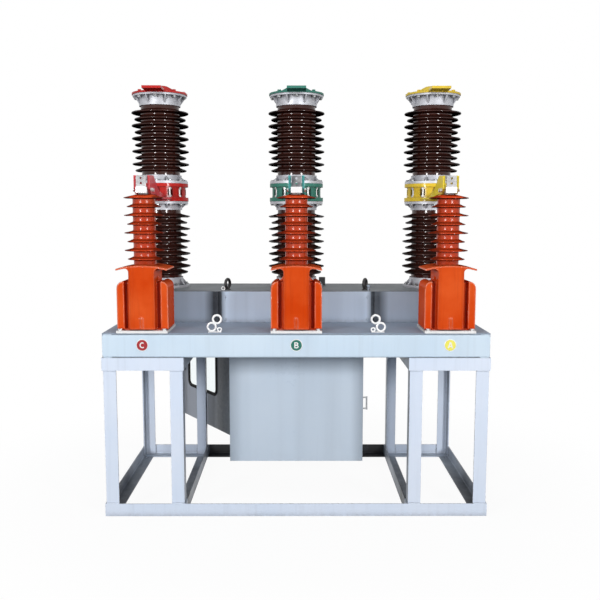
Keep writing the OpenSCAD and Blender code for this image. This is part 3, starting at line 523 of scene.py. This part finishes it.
# Zinc plated steel: dull, faintly blotched and finely scratched, brown in its corners.
plated, given, ends = group_of("plated steel", {
    "Metal": (0.6, 0.62, 0.64, 1), "Stain": (0.25, 0.2, 0.15, 1), "Staining": 0.4, "Dullness": 0.4},
    ("Color", "Roughness", "Height"))
place = node(plated, "Group", node_tree=edges).outputs
blotch = grain(plated, 60, 4)
fine = grain(plated, 700, 2)
stain = times(plated, plus(plated, times(plated, place["Corner"], 0.8), between(plated, blotch, 0.50, 0.80),
    clamp=True), given["Staining"])
colour = tint(plated, between(plated, blotch, 0.3, 0.7, 0.0, 0.35), given["Metal"],
    tint(plated, 0.35, given["Metal"], (0.30, 0.33, 0.36, 1)))
plated.links.new(tint(plated, stain, colour, given["Stain"]), ends["Color"])
plated.links.new(plus(plated, plus(plated, given["Dullness"], times(plated, minus(plated, blotch, 0.5), 0.30)),
    times(plated, stain, 0.4), clamp=True), ends["Roughness"])
plated.links.new(plus(plated, times(plated, fine, 0.35), times(plated, blotch, 0.6)), ends["Height"])
zinc = finish("bright zinc", plated, {"Metal": (0.72, 0.735, 0.75, 1), "Stain": (0.30, 0.25, 0.19, 1),
    "Staining": 0.30, "Dullness": 0.34}, bump=0.0002, soft_edge=0.0006, Metallic=0.9)


def hexagon(across, angle):
    """Distance from the middle to the side of a hexagon, in one direction."""
    return across / 2 / math.cos((angle + math.pi / 6) % (math.pi / 3) - math.pi / 6)


def fastener(mesh, seat, along, size, turn, stud=0.0, head=0.65):
    """Hex head or nut on a washer, seated at a point. stud is the threaded end beyond a nut."""
    across, high, sides = size * 1.6, size * head, 24
    turned = Vector(along).to_track_quat("Z", "Y") @ Matrix.Rotation(turn, 3, "Z").to_quaternion()
    flat, base = across * 0.475, size * 0.16
    droop = lambda a: max(0, hexagon(across, a) - flat) * 0.55
    rings = [(lambda a: size * 1.02, 0.0), (lambda a: size * 1.02, size * 0.13), (lambda a: size * 0.99, base),
             (lambda a: hexagon(across, a) * 0.985, base), (lambda a: hexagon(across, a), base + size * 0.03),
             (lambda a: hexagon(across, a), lambda a: base + high - droop(a)), (lambda a: flat, base + high)]
    if stud:
        top = base + high
        threads = max(2, int(stud / (size * 0.16)))
        for i in range(threads):
            rings += [(lambda a: size * 0.43, top + stud * i / threads),
                      (lambda a: size * 0.50, top + stud * (i + 0.5) / threads)]
        rings += [(lambda a: size * 0.43, top + stud), (lambda a: size * 0.34, top + stud + size * 0.05)]
    made = [ring(mesh, sides, lambda a: Vector(seat) + turned @ Vector((
        radius(a) * math.cos(a), radius(a) * math.sin(a), height(a) if callable(height) else height)))
        for radius, height in rings]
    for one, two in zip(made, made[1:]):
        wall(mesh, one, two)
    mesh.faces.new(made[0][::-1])
    mesh.faces.new(made[-1])


rng = random.Random(7)
cover_low, cover_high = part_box("gear_covers")
lid_low, lid_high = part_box("gear_lid")
pole_pitch, cover_gap = phase_x["a"], 0.019
screw_in, screw_down = 0.018, 0.030
middle_half = pole_pitch * 1.09 / 2 - cover_gap / 2
screws = bmesh.new()
for z in (cover_low.z + screw_in, cover_high.z - screw_down):
    for x in (middle_half - screw_in, middle_half * 0.34, middle_half + cover_gap + screw_in,
              cover_high.x - screw_in, (middle_half + cover_high.x) / 2):
        for side in (-1, 1):
            fastener(screws, (side * x, cover_low.y, z), forwards, 0.006, rng.random())
edge_z = lid_high.z - 0.009
for x in (-0.88, -0.60, -0.30, 0, 0.30, 0.60, 0.88):
    fastener(screws, (x, lid_high.y, edge_z), (0, 1, 0), 0.005, rng.random())
for side in (-1, 1):
    for y in (lid_low.y + 0.05, (lid_low.y + lid_high.y) / 2, lid_high.y - 0.05):
        fastener(screws, (side * lid_high.x, y, edge_z), (side, 0, 0), 0.005, rng.random())
piece("gear_box_screws", screws, box_paint, smooth=35)

# ------------------------------------------------------------------ lifting gear
# Black forged lifting eyes are welded to the lid, and a small cable entry box stands beside the
# middle pole. Galvanised forged eyes stand on small feet at the deck's front edge.
dark_paint = finish("black fittings", film, {
    "Paint": (0.014, 0.014, 0.016, 1), "Chalked": (0.034, 0.034, 0.036, 1), "Dust": (0.09, 0.09, 0.09, 1),
    "Dust cover": 0.5, "Runs": 0.1, "Wear": 0.9, "Corner shade and grime": 0.4, "Sheen": 0.36}, bump=0.0005)
dress(dark_paint, "lid_terminal")
eye_low, eye_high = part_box("lifting_eyes")
eyes = bmesh.new()
y = (eye_low.y + eye_high.y) / 2
ring_z, eye_turn = eye_high.z - 0.0316, math.radians(66)
for x in (-0.370, 0.370):
    lathe(eyes, [(0, 0), (0.0165, 0), (0.0165, 0.003), (0.0145, 0.0055), (0.0105, 0.0075), (0.0085, 0.0120),
        (0, 0.0120)], (x, y, eye_low.z), 32)
    lathe(eyes, [(0.0235 + u, v) for u, v in bow(0, 0, 0.0078, 0.0078, 0, 345, 23)], (x, y, ring_z), 56,
        (math.sin(eye_turn), -math.cos(eye_turn), 0), closed=True)
eyes = piece("forged_eyes", eyes, dark_paint, smooth=50)
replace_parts(eyes, "lifting_eyes")
galvanised = finish("new galvanising", plated, {"Metal": (0.88, 0.885, 0.89, 1), "Stain": (0.45, 0.43, 0.40, 1),
    "Staining": 0.35, "Dullness": 0.36}, bump=0.0003, Metallic=0.25)
dress(galvanised, "deck_eyes")

# A small galvanised eyelet and a painted vent stub stand on the lid's front edge.
eyelet = bmesh.new()
lathe(eyelet, [(0.0085 + x, z) for x, z in bow(0, 0, 0.0028, 0.0028, 0, 330, 11)],
    (-0.392, lid_low.y + 0.020, lid_high.z + 0.0105), 36, (0.25, -1, 0), closed=True)
piece("lid_eyelet", eyelet, galvanised, smooth=60)
vent = bmesh.new()
lathe(vent, [(0, 0), (0.0075, 0), (0.0075, 0.019), (0.0105, 0.020), (0.0112, 0.022), (0.0112, 0.026),
    (0.0095, 0.029), (0, 0.0305)], (0.388, lid_low.y + 0.030, lid_high.z - 0.001), 36)
piece("lid_vent", vent, box_paint, smooth=40)

# ------------------------------------------------------------------ cabinet and door
# The mechanism cabinet is folded from 3 mm sheet and hangs from the platform. Its door is a
# folded pan with a glazed window, on two pinned hinges at the left of the open back.
# the cabinet shows painted reflection streaks
cabinet_paint = finish("cabinet paint", film, {
    "Paint": (0.590, 0.690, 0.810, 1), "Chalked": (0.650, 0.735, 0.835, 1), "Dust": (0.24, 0.26, 0.29, 1),
    "Dust cover": 0.6, "Runs": 0.06, "Wear": 0.4, "Corner shade and grime": 0.7, "Sheen": 0.28, "Reflection bands": 0.18},
    Specular_IOR_Level=0.35)
dress(cabinet_paint, "cabinet")
# the door is painted darker than the cabinet as painted shade, and darker still towards its hinge as a painted
# shadow of the cabinet
door_paint_shaded = finish("door paint as painted shade", film, {
    "Paint": (0.370, 0.410, 0.490, 1), "Chalked": (0.450, 0.490, 0.570, 1), "Dust": (0.10, 0.105, 0.115, 1),
    "Dust cover": 0.6, "Runs": 0.35, "Wear": 0.5, "Corner shade and grime": 0.9, "Sheen": 0.32,
    "Lighting tint": (0.095, 0.108, 0.118, 1), "Lighting tint before": 0.580, "Lighting tint edge": 0.085}, Specular_IOR_Level=0.35)
dress(door_paint_shaded, "door")
dress(dark_paint, "door_latch")
dress(zinc, "cabinet_handle", "hinge_leaves")

rubber = finish("glazing rubber", film, {
    "Paint": (0.006, 0.006, 0.007, 1), "Chalked": (0.014, 0.014, 0.015, 1), "Dust": (0.05, 0.05, 0.05, 1),
    "Dust cover": 0.4, "Runs": 0.0, "Wear": 0.0, "Corner shade and grime": 0.2, "Sheen": 0.6}, bump=0.0003,
    Specular_IOR_Level=0.12)
# The glazing strip is taken from the frame's solid and swollen a little, as pressed rubber is.
swell = 0.0032
lips = bmesh.new()
lips.from_mesh(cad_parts["window_seal"].data)
bmesh.ops.remove_doubles(lips, verts=lips.verts, dist=1e-5)
lips.normal_update()
for vertex, pushed in [(v, v.co + v.normal * swell) for v in lips.verts]:
    vertex.co = pushed
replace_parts(piece("glazing_strip", lips, rubber, body="door_leaf", smooth=30), "window_seal")

# Float glass with a little dust and dried rain on its faces.
panes, given, ends = group_of("used glass", {"Tint": (0.9, 0.95, 0.96, 1), "Film": 0.3},
    ("Color", "Roughness", "Height"))
marks = times(panes, between(panes, grain(panes, 1.0, 5, (60, 60, 5)), 0.52, 0.80), given["Film"])
spots = times(panes, between(panes, grain(panes, 160, 2), 0.62, 0.70), given["Film"])
dim = plus(panes, marks, spots, clamp=True)
panes.links.new(tint(panes, times(panes, dim, 0.35), given["Tint"], (0.55, 0.56, 0.55, 1)), ends["Color"])
panes.links.new(plus(panes, 0.02, times(panes, dim, 0.22), clamp=True), ends["Roughness"])
panes.links.new(plus(panes, grain(panes, 3, 1), times(panes, spots, 0.1)), ends["Height"])
glass = finish("window glass", panes, {"Tint": (0.90, 0.955, 0.965, 1), "Film": 0.35}, bump=0.0002,
    soft_edge=0.0004, Metallic=0.0, Transmission_Weight=1.0, IOR=1.46)
dress(glass, "window_pane")

# ------------------------------------------------------------------ spring mechanism
# A frame of two zinc plated plates carries the shaft with its spur gear, cam and crank, and
# the charging motor. The closing spring stands beside it, and a resin rod goes up to the levers.
steel = finish("machined steel", plated, {"Metal": (0.42, 0.42, 0.43, 1), "Stain": (0.10, 0.07, 0.04, 1),
    "Staining": 0.5, "Dullness": 0.32}, bump=0.0002, Metallic=0.95)
dress(finish("plate zinc", plated, {"Metal": (0.60, 0.615, 0.63, 1), "Stain": (0.33, 0.27, 0.16, 1),
    "Staining": 0.35, "Dullness": 0.42}, bump=0.0002, Metallic=0.85), "mech_frame")
dress(steel, "mech_drive")
dress(finish("blued spring", plated, {"Metal": (0.055, 0.060, 0.075, 1), "Stain": (0.10, 0.05, 0.03, 1),
    "Staining": 0.35, "Dullness": 0.35}, bump=0.0002, Metallic=0.6), "mech_spring")
dress(finish("glass fibre rod", film, {
    "Paint": (0.46, 0.30, 0.10, 1), "Chalked": (0.56, 0.40, 0.18, 1), "Dust": (0.3, 0.28, 0.25, 1),
    "Dust cover": 0.2, "Runs": 0.45, "Wear": 0.1, "Corner shade and grime": 0.4, "Sheen": 0.42}), "drive_rod")

# ------------------------------------------------------------------ poles: porcelain
# Each pole has two hollow insulators of brown glazed porcelain with large and small sheds
# in turn, cemented into the collars. The glaze is deep brown; below the sheds and on their rims toward the
# sides it is darkened almost to black as painted shade.
pole_y = 0.13
# How near a point lies to the rims of the sheds round it, on any of the three poles, and how near it lies
# to the sides of its pole; the glaze and the epoxy use both to place painted shade.
rims, given, ends = group_of("rims of sheds", {"Axis y": 0.0, "Core": 0.1, "Rim": 0.15}, ("Rim", "Beside"))
where = own_xyz(rims)
aside = node(rims, "Math", {0: where["X"], 1: -pole_pitch / 2, 2: pole_pitch / 2}, operation="WRAP").outputs[0]
behind = minus(rims, where["Y"], given["Axis y"])
out = sums(rims, "SQRT", plus(rims, times(rims, aside, aside), times(rims, behind, behind)))
beside = between(rims, sums(rims, "DIVIDE", sums(rims, "ABSOLUTE", aside), given["Core"]), 0.80, 1.02, 0.22,
    1.0)
rims.links.new(beside, ends["Beside"])
rims.links.new(times(rims, between(rims, out, given["Core"], given["Rim"]), beside), ends["Rim"])

glaze, given, ends = group_of("brown glaze", {
    "Deep": (0.03, 0.01, 0.008, 1), "Thin": (0.12, 0.04, 0.02, 1), "Dust": (0.10, 0.085, 0.08, 1),
    "Dust cover": 0.3, "Under shade": 0.8, "Gloss": 0.12, "Polish": 1.0}, ("Color", "Roughness", "Height", "Shine"))
place = node(glaze, "Group", node_tree=edges).outputs
pool = grain(glaze, 7, 4)
speck = node(glaze, "TexVoronoi", {"Vector": own_place(glaze), "Scale": 190.0},
    feature="F1").outputs["Distance"]
colour = tint(glaze, plus(glaze, between(glaze, pool, 0.35, 0.70, 0, 0.38), times(glaze, place["Edge"], 0.75),
    clamp=True), given["Deep"], given["Thin"])
colour = tint(glaze, between(glaze, speck, 0.16, 0.08, 0, 0.5), colour, (0.010, 0.006, 0.005, 1))
# painted shade, almost black, under the sheds and on their rims toward the sides of the pole
rim = node(glaze, "Group", {"Axis y": pole_y, "Core": 0.108, "Rim": 0.132}, node_tree=rims).outputs
colour = tint(glaze, times(glaze, sums(glaze, "MAXIMUM", times(glaze, place["Under shade"], rim["Beside"]),
    rim["Rim"]), given["Under shade"]), colour, (0.006, 0.0038, 0.0036, 1))
film_of_dust = times(glaze, times(glaze, place["Up"], given["Dust cover"]),
    between(glaze, grain(glaze, 22, 5), 0.35, 0.70))
glaze.links.new(tint(glaze, film_of_dust, colour, given["Dust"]), ends["Color"])
glaze.links.new(plus(glaze, plus(glaze, given["Gloss"], times(glaze, pool, 0.08)),
    times(glaze, film_of_dust, 0.5), clamp=True), ends["Roughness"])
glaze.links.new(plus(glaze, times(glaze, grain(glaze, 34, 2), 0.8), between(glaze, speck, 0.10, 0.0, 0, -0.25)),
    ends["Height"])
glaze.links.new(times(glaze, times(glaze, place["Upright"], given["Polish"]),
    between(glaze, pool, 0.3, 0.7, 0.85, 1.0)), ends["Shine"])
porcelain = finish("porcelain", glaze, {
    "Deep": (0.040, 0.0095, 0.0066, 1), "Thin": (0.100, 0.026, 0.016, 1), "Dust": (0.080, 0.060, 0.055, 1),
    "Dust cover": 0.35, "Under shade": 0.90, "Gloss": 0.30, "Polish": 0.85},
    bump=0.0004, soft_edge=0.0005, Specular_IOR_Level=0.0, Coat_Roughness=0.12)


def shed(core, rim, middle, rise, tip, root):
    """Half-section of one shed from below: drip lip, thin round rim, sloping top and root fillets."""
    under = middle - tip * 0.55
    lip = rim - (rim - core) * 0.22
    rounding = tip * 0.62
    points = bow(core + root, middle - tip - root, root, root, 180, 100, 4)
    points += [(core + (rim - core) * 0.45, middle - tip * 0.80), (lip - tip * 1.2, under - tip * 0.25),
        (lip, under - tip * 0.75), (lip + tip, under - tip * 0.30)]
    points += bow(rim - rounding, middle - tip * 0.30, rounding, rounding, -75, 70, 5)
    points += [(core + (rim - core) * 0.55, middle + rise * 0.42), (core + root * 1.3, middle + rise * 0.80)]
    points += bow(core + root, middle + rise * 0.86 + root, root, root, 258, 180, 4)
    return points


def insulator(mesh, centre, length, core, big, small, count, rise, tip, root, sides, low, high, top=None):
    """A column with big and small sheds in turn, of radius core, big and small. Its first shed stands
    low above the foot, its last one high below the top. With a top radius, the last one slopes up to it."""
    pitch = (length - low - high) / (count - 1)
    profile = [(0, 0), (core, 0)]
    for i in range(count):
        profile += shed(core, big if i % 2 else small, low + i * pitch, rise, tip, root)
    if top:
        profile = [point for point in profile if point[1] < length - high or point[0] > big * 0.9]
        profile += [(top * 1.25, length - 0.0025), (top, length)]
    else:
        profile.append((core, length))
    lathe(mesh, profile + [(0, length)], centre, sides)


def plan_middle(low, high):
    """The middle of a box, seen from above."""
    return (low.x + high.x) / 2, (low.y + high.y) / 2


insulator_h = 0.372
for phase in phase_x:
    low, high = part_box("porcelain_" + phase)
    x, y = plan_middle(low, high)
    glazed = bmesh.new()
    for foot in (low.z, high.z - insulator_h):
        insulator(glazed, (x, y, foot), insulator_h, core=0.104, big=(high.x - low.x) / 2, small=0.140,
            count=10, rise=0.014, tip=0.0062, root=0.0060, sides=96, low=0.0279, high=0.0339)
    glazed = piece("glazed_insulators_" + phase, glazed, porcelain, smooth=60)
    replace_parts(glazed, "porcelain_" + phase)

# ------------------------------------------------------------------ poles: collars and their bolts
# Cast aluminium collars are cemented on the porcelain ends. Bolts go through their flanges
# into the gear box lid, the centre housing and the cap.
cast, given, ends = group_of("cast metal", {
    "Metal": (0.6, 0.62, 0.64, 1), "Oxide": (0.4, 0.4, 0.4, 1), "Dirt and shade": (0.06, 0.055, 0.05, 1), "Pitting": 0.5,
    "Corner shade and grime": 0.6, "Dullness": 0.45, "Shade tone": (0.15, 0.15, 0.16, 1), "Shade above": 99.0},
    ("Color", "Roughness", "Height"))
place = node(cast, "Group", node_tree=edges).outputs
blotch = grain(cast, 18, 5)
sand = grain(cast, 420, 3)
pits = node(cast, "TexVoronoi", {"Vector": own_place(cast), "Scale": 260.0}, feature="F1").outputs["Distance"]
pit = times(cast, between(cast, pits, 0.20, 0.06), given["Pitting"])
colour = tint(cast, between(cast, blotch, 0.35, 0.70, 0, 0.6), given["Metal"], given["Oxide"])
# above one height the metal turns towards a dark tone, a painted shade
height = own_xyz(cast)["Z"]
colour = tint(cast, between(cast, minus(cast, height, given["Shade above"]), -0.001, 0.001), colour,
    tint(cast, between(cast, blotch, 0.35, 0.7, 0, 0.4), given["Shade tone"], colour))
# corners and pits darken: grime and painted shade
dirt_and_shade = times(cast, plus(cast, place["Corner"], times(cast, pit, 0.4), clamp=True), given["Corner shade and grime"])
cast.links.new(tint(cast, dirt_and_shade, colour, given["Dirt and shade"]), ends["Color"])
cast.links.new(plus(cast, plus(cast, given["Dullness"], times(cast, minus(cast, blotch, 0.5), 0.25)),
    times(cast, dirt_and_shade, 0.25), clamp=True), ends["Roughness"])
cast.links.new(minus(cast, times(cast, sand, 0.8), pit), ends["Height"])
aluminium = finish("cast aluminium", cast, {
    "Metal": (0.64, 0.655, 0.705, 1), "Oxide": (0.49, 0.500, 0.545, 1), "Dirt and shade": (0.07, 0.07, 0.08, 1),
    "Pitting": 0.3, "Corner shade and grime": 0.9, "Dullness": 0.50},
    bump=0.0002, soft_edge=0.0020, Metallic=0.35)
dress(aluminium, "fittings_a", "fittings_b", "fittings_c")

bolt_zinc = finish("weathered zinc", plated, {"Metal": (0.46, 0.475, 0.49, 1), "Stain": (0.13, 0.11, 0.09, 1),
    "Staining": 0.5, "Dullness": 0.40}, bump=0.0002, soft_edge=0.0006, Metallic=0.8)
flange_t, top_flange_t, bolt_circle = 0.014, 0.010, 0.1335
housing_z, housing_h = 1.567, 0.096
upwards, downwards, sixth_turn = (0, 0, 1), (0, 0, -1), 1.05


def round_pattern(x, y, radius, count, without=None):
    """Places evenly round a circle, with one left out."""
    angles = [math.radians(360 / count * k) for k in range(count) if k != without]
    return [(x + radius * math.cos(a), y + radius * math.sin(a)) for a in angles]


for phase in phase_x:
    low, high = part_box("fittings_" + phase)
    x, y = plan_middle(low, high)
    bolts = bmesh.new()
    for at in round_pattern(x, y, bolt_circle, 8):
        fastener(bolts, (*at, low.z + flange_t), upwards, 0.010, rng.random() * sixth_turn, stud=0.006)
        fastener(bolts, (*at, high.z - top_flange_t), downwards, 0.010, rng.random() * sixth_turn, stud=0.003,
            head=0.8)
    for at in round_pattern(x, y, bolt_circle, 12):
        fastener(bolts, (*at, housing_z - flange_t), downwards, 0.010, rng.random() * sixth_turn)
        fastener(bolts, (*at, housing_z + housing_h + flange_t), upwards, 0.010, rng.random() * sixth_turn)
    piece("collar_bolts_" + phase, bolts, bolt_zinc, smooth=35)

# ------------------------------------------------------------------ poles: housings and caps
# The centre housing and the cap are castings in the enamel of their phase. Studs with nuts
# stand in the housing's pockets, and hex bolts hold the cap's rim.
cap_rim_t, cap_circle = 0.010, 0.131
stud_circle, stud_r, nut_in = 0.124, 0.0062, 0.0012
pocket_low, pocket_high = housing_z + 0.021, housing_z + 0.077
for phase, tone, pale, arm_highlight in (
        ("a", (0.840, 0.560, 0.030, 1), (0.90, 0.74, 0.12, 1), (0.95, 0.76, 0.060, 1)),
        ("b", (0.035, 0.200, 0.150, 1), (0.080, 0.280, 0.220, 1), (0.120, 0.560, 0.560, 1)),
        ("c", (0.560, 0.012, 0.010, 1), (0.62, 0.045, 0.038, 1), (0.86, 0.105, 0.125, 1))):
    coat = {"Paint": tone, "Chalked": pale, "Dust": tuple(0.6 * v + 0.10 for v in pale[:3]) + (1,),
        "Dust cover": 0.35, "Runs": 0.30, "Wear": 0.35, "Corner shade and grime": 1.0, "Sheen": 0.24}
    glossy = {"soft_edge": 0.0022, "Specular_IOR_Level": 0.0, "Coat_Roughness": 0.14}
    enamel_of = finish("cap enamel " + phase, film, {**coat, "Corner shade and grime": 0.0, "Polish": 0.5}, bump=0.0003,
        **glossy)
    dress(enamel_of, "cap_" + phase)
    # the arm, which is the part before this depth, is tinted paler as a painted highlight
    arm_with_highlight = {**coat, "Lighting tint": arm_highlight, "Lighting tint before": -0.022, "Polish": 0.35}
    dress(finish("housing enamel " + phase, film, arm_with_highlight, bump=0.0004, **glossy), "housing_" + phase)
    low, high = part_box("fittings_" + phase)
    x, y = plan_middle(low, high)
    # no stud where the arm leaves the housing, and no bolt where the tongue leaves the cap
    studs = bmesh.new()
    for at in round_pattern(x, y, stud_circle, 12, without=9):
        tube(studs, [(*at, pocket_low), (*at, pocket_high)], [stud_r, stud_r], 20)
        fastener(studs, (*at, pocket_low + nut_in), upwards, 0.0115, rng.random(), head=0.85)
        fastener(studs, (*at, pocket_high - nut_in), downwards, 0.0115, rng.random(), head=0.85)
    piece("housing_studs_" + phase, studs, galvanised, smooth=35)
    bolts = bmesh.new()
    for at in round_pattern(x, y, cap_circle, 8, without=6):
        fastener(bolts, (*at, high.z + cap_rim_t), upwards, 0.011, rng.random(), head=0.75)
    piece("cap_bolts_" + phase, bolts, enamel_of, smooth=35)

# ------------------------------------------------------------------ current transformers
# Each transformer is cast in one piece in brick-red epoxy resin: coil blocks at the sides, a
# tower under a thin roof, and a shedded column. It stands on a white steel plate.
ct_y = -0.382
epoxy, given, ends = group_of("cast epoxy", {
    "Resin": (0.6, 0.07, 0.015, 1), "Faded": (0.65, 0.12, 0.04, 1), "Dust": (0.3, 0.15, 0.1, 1),
    "Dirt and shade": (0.10, 0.012, 0.006, 1), "Dust cover": 0.3, "Corner shade and grime": 0.7, "Under shade": 0.0, "Gloss": 0.26,
    "Polish": 0.1, "Edge highlight": 0.0}, ("Color", "Roughness", "Height", "Shine"))
place = node(epoxy, "Group", node_tree=edges).outputs
flow = grain(epoxy, 5, 4)
fine = grain(epoxy, 90, 4)
run = between(epoxy, grain(epoxy, 1.0, 4, (40, 40, 2.2)), 0.54, 0.80)
colour = tint(epoxy, between(epoxy, flow, 0.35, 0.70, 0, 0.65), given["Resin"], given["Faded"])
flat = node(epoxy, "NewGeometry").outputs["Normal"]
# a pale band along the eased edges is a painted highlight; the same band takes more coat
turned = node(epoxy, "Bevel", {"Radius": 0.011}, samples=8).outputs[0]
wide = node(epoxy, "VectorMath", {0: flat, 1: turned}, operation="DOT_PRODUCT").outputs["Value"]
edge_highlight = times(epoxy, between(epoxy, wide, 0.996, 0.93), minus(epoxy, 1.0, place["Corner"], clamp=True))
colour = tint(epoxy, times(epoxy, edge_highlight, given["Edge highlight"]), colour,
    tint(epoxy, 0.45, given["Faded"], (0.95, 0.60, 0.45, 1)))
colour = tint(epoxy, times(epoxy, times(epoxy, run, place["Upright"]), 0.34), colour, given["Dirt and shade"])
# corners and the grooves beside the tower darken to a dark red: painted shade, with some grime
dirt_and_shade = times(epoxy, place["Corner"], given["Corner shade and grime"])
colour = tint(epoxy, times(epoxy, dirt_and_shade, 0.8), colour, given["Dirt and shade"])
# painted shade, a near black red, under the sheds and on their rims toward the sides of the column
rim = node(epoxy, "Group", {"Axis y": ct_y, "Core": 0.058, "Rim": 0.086}, node_tree=rims).outputs["Rim"]
colour = tint(epoxy, times(epoxy, sums(epoxy, "MAXIMUM", place["Under shade"], times(epoxy, rim, 0.82)),
    given["Under shade"]), colour, (0.026, 0.004, 0.003, 1))
settled = times(epoxy, times(epoxy, place["Up"], given["Dust cover"]),
    between(epoxy, fine, 0.30, 0.60, 0.4, 1.0))
epoxy.links.new(tint(epoxy, settled, colour, given["Dust"]), ends["Color"])
epoxy.links.new(plus(epoxy, plus(epoxy, given["Gloss"], times(epoxy, minus(epoxy, flow, 0.5), 0.14)),
    times(epoxy, plus(epoxy, settled, dirt_and_shade), 0.3), clamp=True), ends["Roughness"])
epoxy.links.new(plus(epoxy, times(epoxy, grain(epoxy, 16, 2), 1.4), times(epoxy, fine, 0.10)), ends["Height"])
polish = times(epoxy, given["Polish"], between(epoxy, flow, 0.3, 0.7, 0.8, 1.0))
epoxy.links.new(times(epoxy, place["Upright"], plus(epoxy, polish, times(epoxy, edge_highlight, given["Edge highlight"]),
    clamp=True)), ends["Shine"])
resin = finish("epoxy resin", epoxy, {
    "Resin": (0.640, 0.055, 0.003, 1), "Faded": (0.790, 0.120, 0.022, 1), "Dust": (0.40, 0.13, 0.065, 1),
    "Dirt and shade": (0.360, 0.020, 0.002, 1), "Dust cover": 0.30, "Corner shade and grime": 0.65, "Gloss": 0.30, "Polish": 0.14,
    "Edge highlight": 0.9}, bump=0.0005, soft_edge=0.0010, Specular_IOR_Level=0.0, Coat_Roughness=0.16)
# the column's resin is a brighter copy of the body's resin, painted light on the column
column_resin_lit = finish("epoxy of the column, lit brighter", epoxy, {
    "Resin": (0.780, 0.064, 0.010, 1), "Faded": (0.840, 0.115, 0.030, 1), "Dust": (0.30, 0.07, 0.040, 1),
    "Dirt and shade": (0.060, 0.006, 0.003, 1), "Dust cover": 0.15, "Corner shade and grime": 0.85, "Under shade": 0.96, "Gloss": 0.25,
    "Polish": 0.65}, bump=0.00022, soft_edge=0.0008, Specular_IOR_Level=0.0, Coat_Roughness=0.20)
base_paint = finish("base paint", film, {
    "Paint": (0.80, 0.80, 0.80, 1), "Chalked": (0.86, 0.86, 0.86, 1), "Dust": (0.62, 0.62, 0.62, 1),
    "Dust cover": 0.5, "Runs": 0.2, "Wear": 0.5, "Corner shade and grime": 0.8, "Sheen": 0.40})
dress(base_paint, "ct_base_a", "ct_base_b", "ct_base_c")
# above the clamps the terminals' fronts are tinted dark grey as painted shade, darkest on the middle pole
for name, dullness, shade_tone, worn_by in (
        ("terminal aluminium", 0.36, (0.270, 0.270, 0.275, 1), ("ct_terminal_a", "ct_terminal_c")),
        ("darkened aluminium", 0.40, (0.085, 0.090, 0.100, 1), ("ct_terminal_b",))):
    dress(finish(name, cast, {
        "Metal": (0.84, 0.84, 0.85, 1), "Oxide": (0.66, 0.66, 0.67, 1), "Dirt and shade": (0.07, 0.065, 0.06, 1),
        "Pitting": 0.2, "Corner shade and grime": 0.6, "Dullness": dullness, "Shade tone": shade_tone, "Shade above": 1.627},
        bump=0.0002, soft_edge=0.0012, Metallic=0.3), *worn_by)

# The body is taken from the frame's solid up to the roof, and its edges are eased as in a mould.
tower_h, column_h, above_roof = 0.317, 0.343, 0.003
foot_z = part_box("ct_body_b")[0].z
copy = bmesh.new()
copy.from_mesh(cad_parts["ct_body_b"].data)
bmesh.ops.remove_doubles(copy, verts=copy.verts, dist=2e-5)
bmesh.ops.bisect_plane(copy, geom=[*copy.verts, *copy.edges, *copy.faces],
    plane_co=(0, 0, foot_z + tower_h + above_roof), plane_no=upwards, clear_outer=True)
bmesh.ops.holes_fill(copy, edges=[e for e in copy.edges if e.is_boundary], sides=0)
rough = bpy.data.meshes.new("rough body")
copy.to_mesh(rough)
copy.free()
form = bpy.data.objects.new("rough body", rough)
scene.collection.objects.link(form)
voxels = form.modifiers.new("voxels", "REMESH")
voxels.mode, voxels.voxel_size = "VOXEL", 0.0025
ease = form.modifiers.new("ease", "SMOOTH")
ease.factor, ease.iterations = 0.5, 9
thin = form.modifiers.new("thin", "DECIMATE")
thin.ratio = 0.28
fair = form.modifiers.new("fair", "WEIGHTED_NORMAL")
fair.mode, fair.weight = "FACE_AREA", 60
bpy.context.view_layer.update()
eased = bpy.data.meshes.new_from_object(form.evaluated_get(bpy.context.evaluated_depsgraph_get()))
bpy.data.objects.remove(form)
eased.materials.clear()

sunk = 0.014
foot_x, foot_y = 0.107, 0.110
clamp_x, clamp_y, clamp_z = 0.039, 0.022, 1.6135
for phase, x in phase_x.items():
    body = eased.copy()
    body.transform(Matrix.Translation((x, 0, 0)))
    body = piece("ct_cast_body_" + phase, body, resin, smooth=180)
    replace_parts(body, "ct_body_" + phase)
    column = bmesh.new()
    insulator(column, (x, ct_y, foot_z + tower_h - sunk), column_h + sunk, core=0.055, big=0.098, small=0.084,
        count=8, rise=0.011, tip=0.0035, root=0.0065, sides=80, low=0.041, high=0.016, top=0.036)
    piece("ct_column_" + phase, column, column_resin_lit, smooth=60)
    bolts = bmesh.new()
    for sx in (-1, 1):
        for sy in (-1, 1):
            fastener(bolts, (x + sx * foot_x, ct_y + sy * foot_y, foot_z), upwards, 0.012, rng.random())
        for dy in (-clamp_y, clamp_y):
            fastener(bolts, (x + sx * clamp_x, ct_y + dy, clamp_z), (sx, 0, 0), 0.010, rng.random())
    piece("ct_bolts_" + phase, bolts, zinc, smooth=35)
